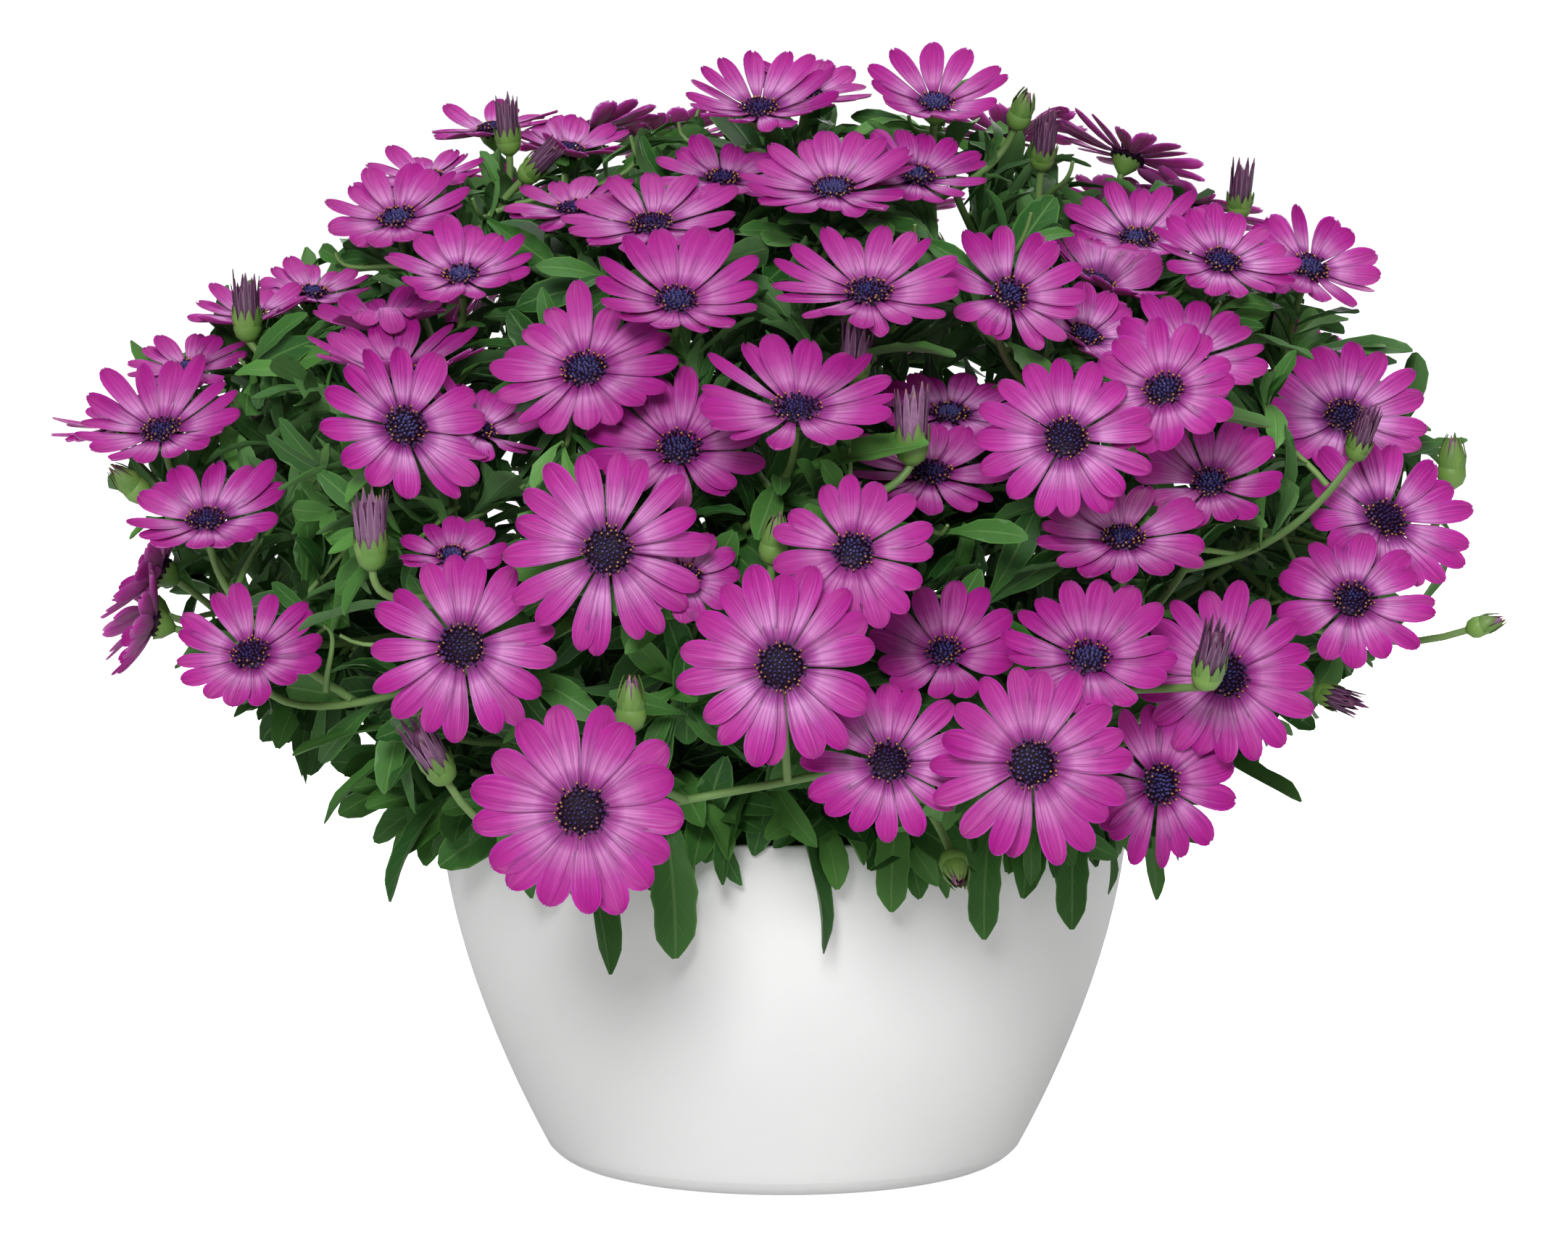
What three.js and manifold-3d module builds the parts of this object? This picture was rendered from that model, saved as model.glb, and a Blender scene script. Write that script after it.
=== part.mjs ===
// Osteospermum (African daisy) in full bloom in a white bowl pot.
// Millimetres, +Z up. The origin is the centre of the pot's underside and the show side faces -Y.
//
// The plant is laid out first, as numbers: where each bloom sits and looks, the stem that carries it,
// the buds, and the leaves. Then each bloom, stem, bud and leaf becomes a small closed solid, and
// those of one node are joined. Places are given as the show side has them: across (+X), up (+Z) and
// out towards the viewer (-Y).
import * as THREE from "three";
import { mergeVertices } from "three/addons/utils/BufferGeometryUtils.js";
import Module from "manifold-3d";

const wasm = await Module();
wasm.setup();

// ---------------------------------------------------------------- driving dimensions

const GAP = 0.3; // between solids that touch
const FINEST = 0.005; // edges shorter than this are closed up

const POT = {
  height: 132,
  rimRadius: 126,
  baseRadius: 83,
  footRadius: 70, // flat face that the pot stands on
  bulge: 1.7, // how early the wall swells on its way up
  wall: 4,
  floor: 5,
  sides: 24,
};
const SOIL = { top: 118, mound: 7, lump: 1.6 };
const HOLE = { radius: 6, depth: 14, sides: 6 };

// Bloom: a disc of florets in a ring of petals that rise from its back as a shallow dish.
const PETAL = { valley: 0.3, shoulder: 0.78, widthShare: 0.8, ridge: 0.58, ridgeRise: 1.5, flutter: 0.7 };
const PETAL_MIDDLE = 0.6; // middle of the petals' thickness over the dish
const DISC = { radius: 0.2, rise: 1.9, bead: 0.7, dome: 3.1, under: 1.2 };
const DISH_POWER = 1.5;
const HEART = [DISC.dome, 0, -4, -9, -14]; // from the crown of the disc down the start of the stem

const STEM = { radius: 1.4, rootRadius: 0.6, limbRadius: 2.6, calyxRadius: 3.4, calyxLength: 6 };
const SECTORS = 8; // leafy stems round the pot
const CROWN = { distance: 40, radius: 5.2, rise: 10 };
const FORKS = { limb: 1, bloom: 0.6 }; // stems that others grow from, and up to which share of them
const FORK_PITCH = 7;
const OWN_REACH = 12; // round its root, a stem or leaf may touch others of its sector
const LIKING = 0.05; // weight of crossing a stem of its own sector

// Room between the middles of two things that pass each other
const CLEAR = { dish: 3.6, disc: 1.2, stub: 9, stem: 3.4, stemToStem: 4.6, leaf: 2.8, leafToStem: 3, pot: 2.2 };

// ---------------------------------------------------------------- the blooms

// One row a bloom: across, up, out, radius, turn (to the right), tilt (of its face above level) and
// cup (rise of the petal tips, as a share of the radius). Blooms in one group touch.
const SHOW_GROUPS = [
  [[-9, 379, 50, 29, 0, 60, 0.36], [18, 371, 5, 24, 20, 66, 0.3]],
  [[52, 376, 60, 26, 5, 57, 0.42]],
  [[18, 352, 105, 32, -5, 62, 0.26], [49, 351, 84, 25, 15, 55, 0.3]],
  [[-107, 377, -30, 25, -40, 76, 0.15], [-79, 369, -10, 24, 20, 72, 0.34]],
  [[-136, 345, 60, 28, -15, 58, 0.28], [-121, 360, 5, 24, -20, 72, 0.2]],
  [[-111, 328, 106, 26, -5, 60, 0.28]],
  [[-45, 345, 100, 33, -5, 64, 0.22], [-75, 337, 70, 25, -20, 70, 0.2], [-13, 356, 52, 26, 10, 68, 0.2]],
  [[-36, 317, 150, 31, 5, 52, 0.34]],
  [[27, 321, 155, 33, 0, 56, 0.22]],
  [[75, 324, 138, 27, 18, 36, 0.3]],
  [[127, 337, 20, 28, 0, 60, 0.34], [108, 328, 66, 24, 50, 58, 0.42]],
  [[150, 325, 88, 27, 18, 52, 0.22]],
  [[188, 327, 30, 28, 18, 48, 0.2]],
  [[-66, 302, 165, 33, -10, 45, 0.1]],
  [[-130, 298, 130, 31, 0, 76, 0.4], [-144, 320, 60, 24, -20, 72, 0.3]],
  [[-192, 304, 10, 24, -30, 74, 0.28], [-172, 312, -14, 23, 10, 70, 0.28]],
  [[-220, 272, 60, 31, -12, 56, 0.3], [-210, 289, 6, 24, -15, 68, 0.24], [-243, 248, 18, 23, -50, 70, 0.12]],
  [[-200, 244, 100, 29, -5, 59, 0.28]],
  [[-224, 219, 30, 26, -84, 34, 0.36], [-236, 194, -18, 24, -96, 22, 0.36], [-214, 192, 54, 23, -82, 16, 0.36]],
  [[-181, 198, 135, 28, -8, 44, 0.24]],
  [[-127, 273, 170, 31, 24, 30, 0.14], [-102, 273, 158, 23, 44, 56, 0.36]],
  [[-105, 208, 205, 33, -8, 12, 0.04], [-108, 240, 160, 19, 5, 55, 0.2]],
  [[4, 284, 192, 35, 0, 58, 0.24]],
  [[-35, 271, 175, 32, 0, 44, 0.18]],
  [[49, 261, 158, 30, 5, 60, 0.12], [60, 298, 115, 29, 8, 66, 0.1]],
  [[92, 275, 196, 31, 0, 28, 0.03], [125, 278, 162, 27, -14, 34, 0.14]],
  [[140, 299, 122, 28, 8, 48, 0.24], [104, 299, 112, 24, 34, 52, 0.4]],
  [[199, 278, 60, 31, 4, 40, 0.2]],
  [[112, 243, 184, 31, 0, 60, 0.12], [158, 252, 134, 26, -6, 44, 0.38]],
  [[193, 213, 122, 29, 4, 38, 0.1], [206, 224, 72, 33, 26, 36, 0.18]],
  [[146, 196, 182, 32, 16, 12, 0.02], [120, 158, 186, 30, 30, 4, 0.06]],
  [[79, 176, 232, 34, 3, 8, 0.0], [98, 206, 200, 30, 0, 46, 0.24]],
  [[53, 208, 195, 26, -5, 42, 0.36]],
  [[-1, 205, 243, 34, 0, 8, 0.0], [24, 240, 206, 28, 0, 26, 0.06]],
  [[-57, 240, 215, 35, 0, 10, 0.02], [-32, 235, 236, 20, 8, 40, 0.1]],
  [[-65, 158, 238, 36, -2, 10, 0.04]],
  [[34, 170, 226, 30, 4, 28, 0.1]],
];

// Behind, the dome goes on in rows of pairs: pairs in the row, height, and the row's first and last
// bearing round the pot (0 is the show side, 90 its right).
const BACK_ROWS = [
  { pairs: 2, up: 376, from: 100, to: 260 },
  { pairs: 3, up: 348, from: 104, to: 256 },
  { pairs: 3, up: 296, from: 110, to: 252 },
  { pairs: 3, up: 240, from: 112, to: 252 },
  { pairs: 2, up: 184, from: 130, to: 230 },
];
const DOME = { up: 225, halfWidth: 246, halfDepth: 226, rise: 178, drop: 142 };

// Buds: across, up, out, radius, turn, tilt
const BUDS = [
  [-25, 404, 40, 4.4, 0, 86], [54, 402, 20, 3.4, 0, 84], [84, 384, 50, 4.6, 30, 55],
  [92, 370, 42, 4.6, 10, 62], [-111, 376, 20, 4.6, -20, 80], [-88, 364, 42, 4.4, 60, 40],
  [-185, 311, 42, 5.2, -10, 84], [-234, 257, 72, 5, -60, 40], [-136, 247, 190, 5.4, -10, 80],
  [-115, 169, 192, 5.4, -40, 52], [-51, 199, 232, 5.2, 5, 78], [-3, 244, 214, 5, 20, 70],
  [42, 276, 186, 5.6, 0, 84], [238, 259, 44, 5.4, 10, 80], [246, 204, 78, 4, 70, 20],
  [188, 183, 122, 4.4, 40, -10], [57, 131, 180, 5, 10, -30], [127, 204, 206, 5.4, 20, 60],
  [158, 353, 18, 4.6, 10, 70], [191, 263, 100, 4.4, 30, 60], [26, 307, 168, 5.4, 10, 60],
  [-120, 300, -150, 5, 150, 60], [60, 330, -150, 5, 190, 60], [150, 250, -160, 5, 150, 40],
];

const BUD_SLIMNESS = 3.4; // length over radius
const BUD_SHIFTS = [
  [0, 0], [6, 0], [-6, 0], [0, -6], [0, 6], [12, 0], [-12, 0], [6, -8], [-8, -8], [6, 8], [14, 6], [-16, 4], [20, 0],
];

// Leaves among the blooms: how many of the stems bear one, where on the stem, and how far from the
// dome's middle they reach
const LEAF_PLACE = 0.66;
const LEAF_REACH = 1.04;

// Sprays that reach over the rim on the show side: where the leaves part (across, up, out), and each
// leaf's tip (across, up, out) and half width
const RIM_SPRAYS = [
  [[-82, 155, 104], [[-88, 112, 112, 6], [-58, 90, 134, 8]]],
  [[-44, 158, 122], [[-36, 96, 142, 8], [-18, 132, 150, 6]]],
  [[-6, 160, 131], [[-22, 122, 146, 6], [16, 98, 142, 7], [28, 130, 150, 6]]],
  [[41, 155, 122], [[62, 126, 138, 7], [36, 112, 142, 6]]],
  [[74, 155, 108], [[86, 118, 120, 5], [68, 100, 126, 6]]],
  [[102, 153, 82], [[100, 100, 102, 6], [116, 110, 84, 5]]],
  [[-110, 150, 64], [[-140, 108, 84, 8], [-158, 114, 64, 5]]],
  [[-118, 164, 74], [[-163, 136, 80, 6], [-171, 162, 96, 6]]],
  [[122, 160, 58], [[181, 146, 92, 7], [182, 178, 60, 5]]],
];
const RIM_BACK = { sprays: 7, from: 98, to: 262, halfWidth: 6.5, drop: 50 };

// ---------------------------------------------------------------- small helpers

const DEG = Math.PI / 180;
const vec = (x, y, z) => new THREE.Vector3(x, y, z);
const shown = (across, up, out) => vec(across, -out, up);
const along = (point, direction, distance) => point.clone().addScaledVector(direction, distance);

function seeded(seed) {
  let state = seed;
  return (low, high) => {
    state = (state * 16807) % 2147483647;
    return low + ((high - low) * state) / 2147483647;
  };
}

// Bearing round the pot in degrees, 0 to 360: 0 is the show side, 90 its right.
function bearing(point) {
  return (Math.atan2(point.x, -point.y) / DEG + 360) % 360;
}

function atBearing(angle, distance, up) {
  return vec(distance * Math.sin(angle * DEG), -distance * Math.cos(angle * DEG), up);
}

function facing(turn, tilt) {
  const level = Math.cos(tilt * DEG);
  return vec(Math.sin(turn * DEG) * level, -Math.cos(turn * DEG) * level, Math.sin(tilt * DEG));
}

// ---------------------------------------------------------------- layout: blooms

function makeBloom(place, radius, turn, tilt, cup, group) {
  const normal = facing(turn, tilt);
  const side = vec(Math.cos(turn * DEG), Math.sin(turn * DEG), 0);
  const top = normal.clone().cross(side);
  return { centre: place, radius, normal, side, top, cup, group };
}

// How far out of the dome's middle a point is: 1 on the dome
function domeShare(point) {
  const reach = point.z > DOME.up ? DOME.rise : DOME.drop;
  return Math.hypot(point.x / DOME.halfWidth, point.y / DOME.halfDepth, (point.z - DOME.up) / reach);
}

function domeBloom(angle, up, radius, random, group) {
  const reach = up > DOME.up ? DOME.rise : DOME.drop;
  const ring = Math.sqrt(1 - ((up - DOME.up) / reach) ** 2);
  const place = vec(
    DOME.halfWidth * ring * Math.sin(angle * DEG),
    -DOME.halfDepth * ring * Math.cos(angle * DEG),
    up,
  );
  const tilt = 14 + (up - 170) * 0.28 + random(-8, 8);
  return makeBloom(place, radius, angle + random(-16, 16), tilt, random(0.02, 0.3), group);
}

function layBlooms() {
  const random = seeded(4177);
  const blooms = [];
  SHOW_GROUPS.forEach((rows, group) => {
    for (const [across, up, out, radius, turn, tilt, cup] of rows) {
      blooms.push(makeBloom(shown(across, up, out), radius, turn, tilt, cup, group));
    }
  });
  let group = SHOW_GROUPS.length;
  for (const row of BACK_ROWS) {
    for (let pair = 0; pair < row.pairs; pair += 1) {
      const middle = row.from + ((row.to - row.from) * (pair + 0.5)) / row.pairs;
      const half = (row.to - row.from) / row.pairs / 4;
      const lift = random(-10, 10);
      blooms.push(domeBloom(middle - half, row.up + lift, random(29, 34), random, group));
      blooms.push(domeBloom(middle + half, row.up - lift, random(29, 34), random, group));
      group += 1;
    }
  }
  return blooms;
}

// The dish: height above the bloom's own plane at a distance from its axis
function dishHeight(bloom, distance) {
  return bloom.cup * bloom.radius * (distance / bloom.radius) ** DISH_POWER;
}

function dishPoint(bloom, angle, distance, rise) {
  return bloom.centre.clone()
    .addScaledVector(bloom.side, Math.cos(angle) * distance)
    .addScaledVector(bloom.top, Math.sin(angle) * distance)
    .addScaledVector(bloom.normal, dishHeight(bloom, distance) + rise);
}

// Where a point lies against a bloom's dish: distance from its axis, and height over the petals
function againstDish(bloom, point) {
  const from = point.clone().sub(bloom.centre);
  const height = from.dot(bloom.normal);
  const distance = Math.sqrt(Math.max(0, from.lengthSq() - height * height));
  return { distance, over: height - dishHeight(bloom, Math.min(distance, bloom.radius)) - PETAL_MIDDLE };
}

function ringOf(bloom, share, count) {
  const points = [];
  for (let k = 0; k < count; k += 1) {
    points.push(dishPoint(bloom, (2 * Math.PI * k) / count, share * bloom.radius, PETAL_MIDDLE));
  }
  return points;
}

// Petals of two blooms cross where the ring of one passes through the dish of the other.
function crosses(a, b) {
  const reach = 0.8;
  const ring = ringOf(b, reach, 24).map((point) => againstDish(a, point));
  return ring.some((here, k) => {
    const next = ring[(k + 1) % ring.length];
    const inside = Math.max(here.distance, next.distance) < reach * a.radius;
    return inside && here.over * next.over < 0;
  });
}

// A bloom's heart and the start of its stem stay clear of its partner's petals.
function pierces(a, b) {
  return HEART.some((rise) => {
    const { distance, over } = againstDish(a, along(b.centre, b.normal, rise));
    return distance < a.radius + 2 && Math.abs(over) < CLEAR.stem + STEM.calyxRadius - STEM.radius;
  });
}

function touchesWell(a, b) {
  return (crosses(a, b) || crosses(b, a)) && !pierces(a, b) && !pierces(b, a);
}

// Each bloom of a group shifts a little, towards the group's first or along that one's axis, until
// their petals cross and neither pierces the other.
function gather(blooms) {
  const first = new Map();
  for (const bloom of blooms) {
    if (!first.has(bloom.group)) {
      first.set(bloom.group, bloom);
      continue;
    }
    const partner = first.get(bloom.group);
    const home = bloom.centre.clone();
    const way = partner.centre.clone().sub(home).normalize();
    for (let shift = 0; shift <= 60 && !touchesWell(partner, bloom); shift += 2) {
      for (let lift = -shift; lift <= shift; lift += 2) {
        for (const toward of [shift - Math.abs(lift), Math.abs(lift) - shift]) {
          const place = along(along(home, way, toward), partner.normal, lift);
          if (touchesWell(partner, { ...bloom, centre: place })) {
            bloom.centre.copy(place);
            lift = Infinity;
            break;
          }
        }
      }
    }
  }
}

function probesOf(bloom) {
  return [
    along(bloom.centre, bloom.normal, DISC.dome),
    along(bloom.centre, bloom.normal, -CLEAR.stub),
    ...ringOf(bloom, 0.5, 8),
    ...ringOf(bloom, 0.8, 14),
    ...ringOf(bloom, 1, 20),
  ];
}

// Of two blooms that look much the same way, one lies over the other. Otherwise it is a matter of
// which side of the other's petals its centre is on.
function liesOver(a, b) {
  if (a.normal.dot(b.normal) < 0.3) return againstDish(b, a.centre).over >= 0;
  return a.centre.clone().sub(b.centre).dot(a.normal.clone().add(b.normal)) >= 0;
}

// Groups move apart as rigid bodies until no bloom reaches into another group's dish.
function spread(blooms, rounds) {
  const groups = 1 + Math.max(...blooms.map((bloom) => bloom.group));
  const sides = new Map();
  const sideOf = (i, j) => {
    const key = i * blooms.length + j;
    if (!sides.has(key)) sides.set(key, liesOver(blooms[i], blooms[j]) ? 1 : -1);
    return sides.get(key);
  };
  let worst = 0;
  for (let round = 0; round < rounds; round += 1) {
    const moves = Array.from({ length: groups }, () => vec(0, 0, 0));
    const probes = blooms.map(probesOf);
    worst = 0;
    for (let i = 0; i < blooms.length; i += 1) {
      for (let j = 0; j < blooms.length; j += 1) {
        const a = blooms[i];
        const b = blooms[j];
        if (a.group === b.group) continue;
        if (a.centre.distanceTo(b.centre) > a.radius + b.radius + CLEAR.stub) continue;
        const side = sideOf(i, j);
        let need = 0;
        for (const probe of probes[i]) {
          const { distance, over } = againstDish(b, probe);
          if (distance > b.radius + 2) continue;
          const room = CLEAR.dish + (distance < 0.3 * b.radius ? CLEAR.disc : 0);
          need = Math.max(need, room - side * over);
        }
        if (need <= 0) continue;
        worst = Math.max(worst, need);
        const push = 0.25 * Math.min(need, 4) * side;
        moves[a.group].addScaledVector(b.normal, push);
        moves[b.group].addScaledVector(b.normal, -push);
      }
    }
    for (const bloom of blooms) bloom.centre.add(moves[bloom.group]);
  }
  return worst;
}

// ---------------------------------------------------------------- layout: stems

function sectorOf(point) {
  return Math.floor(((bearing(point) + 180 / SECTORS) % 360) / (360 / SECTORS));
}

// Two limbs rise from each crown: one up into the dome, one out towards its side.
function limbsOf(sector) {
  const angle = (sector * 360) / SECTORS;
  const base = atBearing(angle, CROWN.distance, SOIL.top + CROWN.rise - 3);
  return [
    [base, atBearing(angle, 46, 190), atBearing(angle, 50, 262)],
    [base, atBearing(angle, 84, 160), atBearing(angle, 128, 196)],
  ];
}

function bezier(a, b, c, d, count) {
  const curve = new THREE.CubicBezierCurve3(a, b, c, d);
  return curve.getPoints(count);
}

function sampled(points, spacing) {
  const samples = [];
  for (let k = 0; k + 1 < points.length; k += 1) {
    const count = Math.max(1, Math.ceil(points[k].distanceTo(points[k + 1]) / spacing));
    for (let s = 0; s < count; s += 1) samples.push(points[k].clone().lerp(points[k + 1], s / count));
  }
  samples.push(points[points.length - 1].clone());
  return samples;
}

// How far a set of points reaches into the blooms' dishes (0 when it is clear of all)
function intoBlooms(samples, blooms, room, own) {
  let worst = 0;
  for (const bloom of blooms) {
    for (const sample of samples) {
      if (bloom === own && sample.distanceTo(bloom.centre) < 14) continue;
      if (sample.distanceTo(bloom.centre) > bloom.radius + room + 12) continue;
      const { distance, over } = againstDish(bloom, sample);
      if (distance < bloom.radius + room - 1.5) worst = Math.max(worst, room - Math.abs(over));
    }
  }
  return worst;
}

// How far samples reach into the samples of other stems or leaves. Those of the same sector count
// only away from the root, where the two may touch.
function intoOthers(samples, others, sector, room, root) {
  let worst = 0;
  for (const other of others) {
    for (const sample of samples) {
      if (other.sector === sector && sample.distanceTo(root) < OWN_REACH) continue;
      for (const spot of other.samples) worst = Math.max(worst, room - sample.distanceTo(spot));
    }
  }
  return worst;
}

function potRadius(up) {
  return POT.baseRadius
    + (POT.rimRadius - POT.baseRadius) * (1 - (1 - Math.min(up, POT.height) / POT.height) ** POT.bulge);
}

function intoPot(samples, room) {
  let worst = 0;
  for (const sample of samples) {
    if (sample.z > POT.height + room) continue;
    const reach = Math.hypot(sample.x, sample.y);
    const outside = potRadius(sample.z) + room - reach;
    const inside = Math.max(
      reach - (potRadius(sample.z) - POT.wall - room),
      SOIL.top + SOIL.mound + room - sample.z,
    );
    worst = Math.max(worst, Math.min(outside, inside));
  }
  return worst;
}

// The places that a new stem may grow from, nearest first: on stems of its sector, where it can
// leave without doubling back.
function forksFor(end, arrive, sector, stems) {
  const spots = [];
  for (const stem of stems) {
    if (stem.sector !== sector || !FORKS[stem.kind]) continue;
    const last = Math.floor(FORKS[stem.kind] * (stem.samples.length - 1));
    for (const spot of stem.samples.slice(0, last + 1)) {
      const way = end.clone().sub(spot);
      const length = way.length();
      if (length < 34 || way.dot(arrive) < 0.3 * length) continue;
      const taken = stems.some((other) => other.spot && other.spot.distanceTo(spot) < FORK_PITCH);
      spots.push({ spot, cost: length + Math.max(0, spot.z - end.z) + (taken ? 15 : 0) });
    }
  }
  spots.sort((a, b) => a.cost - b.cost);
  const forks = [];
  for (const { spot } of spots) {
    if (forks.length < 4 && forks.every((fork) => fork.distanceTo(spot) > 20)) forks.push(spot);
  }
  return forks.length ? forks : [limbsOf(sector)[1][1]];
}

// A stem arrives at its bloom, bud or leaf along the given direction. Ways round are tried, nearest
// first, until one is clear.
function routeStem(end, arrive, sector, blooms, stems, own) {
  const side = vec(-arrive.y, arrive.x, 0).normalize();
  const top = arrive.clone().cross(side);
  const kin = stems.filter((stem) => stem.sector === sector);
  const foreign = stems.filter((stem) => stem.sector !== sector);
  let best = null;
  for (const spot of forksFor(end, arrive, sector, stems)) {
    const length = spot.distanceTo(end);
    for (const swing of [0, 8, 16, 26, 38]) {
      for (let turn = 0; turn < (swing ? 10 : 1); turn += 1) {
        for (const reach of [0.42, 0.25, 0.6]) {
          const angle = (2 * Math.PI * turn) / 10;
          const near = along(end, arrive, -reach * length)
            .addScaledVector(side, Math.cos(angle) * swing)
            .addScaledVector(top, Math.sin(angle) * swing);
          const far = spot.clone().lerp(near, 0.4);
          const points = bezier(spot, far, near, end, length > 110 ? 3 : 2);
          const samples = sampled(points, 4);
          const fault = intoBlooms(samples, blooms, CLEAR.stem, own)
            + intoOthers(samples, foreign, sector, CLEAR.stemToStem, spot)
            + LIKING * intoOthers(samples, kin, sector, CLEAR.stemToStem, spot);
          if (!best || fault < best.fault - 1e-6) best = { points, samples, fault, sector, spot };
          if (best.fault === 0) return best;
        }
      }
    }
    if (best.fault <= LIKING * CLEAR.stemToStem) return best;
  }
  return best;
}

function layStems(blooms) {
  const stems = [];
  for (let sector = 0; sector < SECTORS; sector += 1) {
    for (const points of limbsOf(sector)) {
      stems.push({ kind: "limb", sector, points, samples: sampled(points, 4), fault: 0 });
    }
  }
  const jobs = blooms.map((bloom) => {
    const end = along(bloom.centre, bloom.normal, -DISC.under - GAP - STEM.calyxLength);
    const sector = sectorOf(end);
    return { bloom, end, sector, far: end.distanceTo(limbsOf(sector)[0][0]) };
  });
  jobs.sort((a, b) => a.far - b.far);
  for (const { bloom, end, sector } of jobs) {
    stems.push({ ...routeStem(end, bloom.normal, sector, blooms, stems, bloom), kind: "bloom", bloom });
  }
  return stems;
}

// A bud sits where it is listed, or a little further out or up where a bloom is in its way.
function layBuds(blooms, stems) {
  const buds = [];
  for (const [across, up, out, radius, turn, tilt] of BUDS) {
    const axis = facing(turn, tilt);
    const length = radius * BUD_SLIMNESS;
    const listed = shown(across, up, out);
    const outward = vec(listed.x, listed.y, 0).normalize();
    let found = null;
    for (const [push, lift] of BUD_SHIFTS) {
      const base = along(along(listed, outward, push), axis, lift - length / 2);
      const body = sampled([base, along(base, axis, length)], 3);
      const sector = sectorOf(base);
      const fault = intoBlooms(body, blooms, radius + 2.4, null)
        + intoOthers(body, stems, sector, radius + STEM.radius + 0.6, base);
      if (fault > 0) continue;
      const stem = routeStem(base, axis, sector, blooms, stems, null);
      if (stem.fault > LIKING * CLEAR.stemToStem) continue;
      found = { stem, body, base, sector };
      break;
    }
    if (!found) continue;
    const { stem, body, base, sector } = found;
    stems.push({ ...stem, samples: [...stem.samples, ...body], kind: "bud" });
    buds.push({ base, axis, radius, length, sector });
  }
  return buds;
}

// ---------------------------------------------------------------- layout: leaves

// Half width of a leaf along its length: narrow at the root, widest past the middle, with teeth
const RIM_OUTLINE = [[0.3, 0.42], [0.56, 0.98], [0.66, 0.7], [0.82, 0.88]];
const INNER_OUTLINE = [[0.48, 0.9], [0.6, 0.62], [0.8, 0.95]];

function makeLeaf(root, tip, outline, halfWidth, droop, roll, sector) {
  const line = tip.clone().sub(root);
  const length = line.length();
  line.normalize();
  const side = line.clone().cross(vec(0, 0, 1)).normalize();
  side.applyAxisAngle(line, roll);
  const face = side.clone().cross(line);
  const spot = (share, width, rise) => along(root, line, share * length)
    .addScaledVector(side, width * halfWidth)
    .addScaledVector(face, rise + droop * 4 * share * (1 - share));
  const edge = [
    spot(0, 0, 0),
    ...outline.map(([share, width]) => spot(share, width, 0)),
    spot(1, 0, 0),
    ...[...outline].reverse().map(([share, width]) => spot(share, -width, 0)),
  ];
  const middle = [spot(0.58, 0, 0.8), spot(0.58, 0, -0.5)];
  const samples = sampled([...edge, edge[0]], 4)
    .concat(sampled([root, middle[0], tip], 4))
    .filter((sample) => sample.distanceTo(root) > 3);
  return { edge, middle, samples, sector };
}

// A leaf keeps to its own sector's wedge, so leaves of two sectors never meet.
function outOfWedge(samples, sector) {
  const middle = (sector * 360) / SECTORS;
  const half = 180 / SECTORS;
  let worst = 0;
  for (const sample of samples) {
    for (const edge of [-1, 1]) {
      const wall = atBearing(middle + edge * (half + 90), 1, 0);
      worst = Math.max(worst, 0.6 - wall.dot(vec(sample.x, sample.y, 0)) * -1);
    }
  }
  return worst;
}

function leafFault(leaf, blooms, stems, leaves) {
  return intoPot(leaf.samples, CLEAR.pot)
    + outOfWedge(leaf.samples, leaf.sector)
    + intoBlooms(leaf.samples, blooms, CLEAR.leaf, null)
    + intoOthers(leaf.samples, stems, leaf.sector, CLEAR.leafToStem, leaf.edge[0])
    + intoOthers(leaf.samples, leaves, leaf.sector, CLEAR.leafToStem, leaf.edge[0]);
}

function layLeaves(blooms, stems, leaves) {
  const random = seeded(9931);
  const bearers = stems.filter((stem) => stem.kind === "bloom");
  bearers.forEach((stem, order) => {
    if (order % 3 === 2) return;
    const root = stem.samples[Math.round(LEAF_PLACE * (stem.samples.length - 1))];
    for (let attempt = 0; attempt < 16; attempt += 1) {
      const outward = bearing(root) + random(-70, 70);
      const way = atBearing(outward, 1, random(-0.35, 0.75)).normalize();
      const tip = along(root, way, random(40, 56));
      const leaf = makeLeaf(
        root, tip, INNER_OUTLINE, random(5.6, 7.4), random(1, 5), random(-0.7, 0.7), stem.sector,
      );
      if (domeShare(tip) > LEAF_REACH || leafFault(leaf, blooms, stems, leaves) > 0) continue;
      leaves.push(leaf);
      break;
    }
  });
}

function rimSprays() {
  const sprays = RIM_SPRAYS.map(([root, tips]) => ({
    root: shown(...root),
    tips: tips.map(([across, up, out, halfWidth]) => ({ tip: shown(across, up, out), halfWidth })),
  }));
  const pitch = (RIM_BACK.to - RIM_BACK.from) / RIM_BACK.sprays;
  for (let k = 0; k < RIM_BACK.sprays; k += 1) {
    const angle = RIM_BACK.from + pitch * (k + 0.5);
    sprays.push({
      root: atBearing(angle, POT.rimRadius + 2, POT.height + 16),
      tips: [-8, 9].map((sweep, n) => ({
        tip: atBearing(angle + sweep, POT.rimRadius + 18 + ((k + n) % 3) * 8, POT.height + 10
          - RIM_BACK.drop + ((k + 2 * n) % 4) * 8),
        halfWidth: RIM_BACK.halfWidth,
      })),
    });
  }
  return sprays;
}

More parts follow.
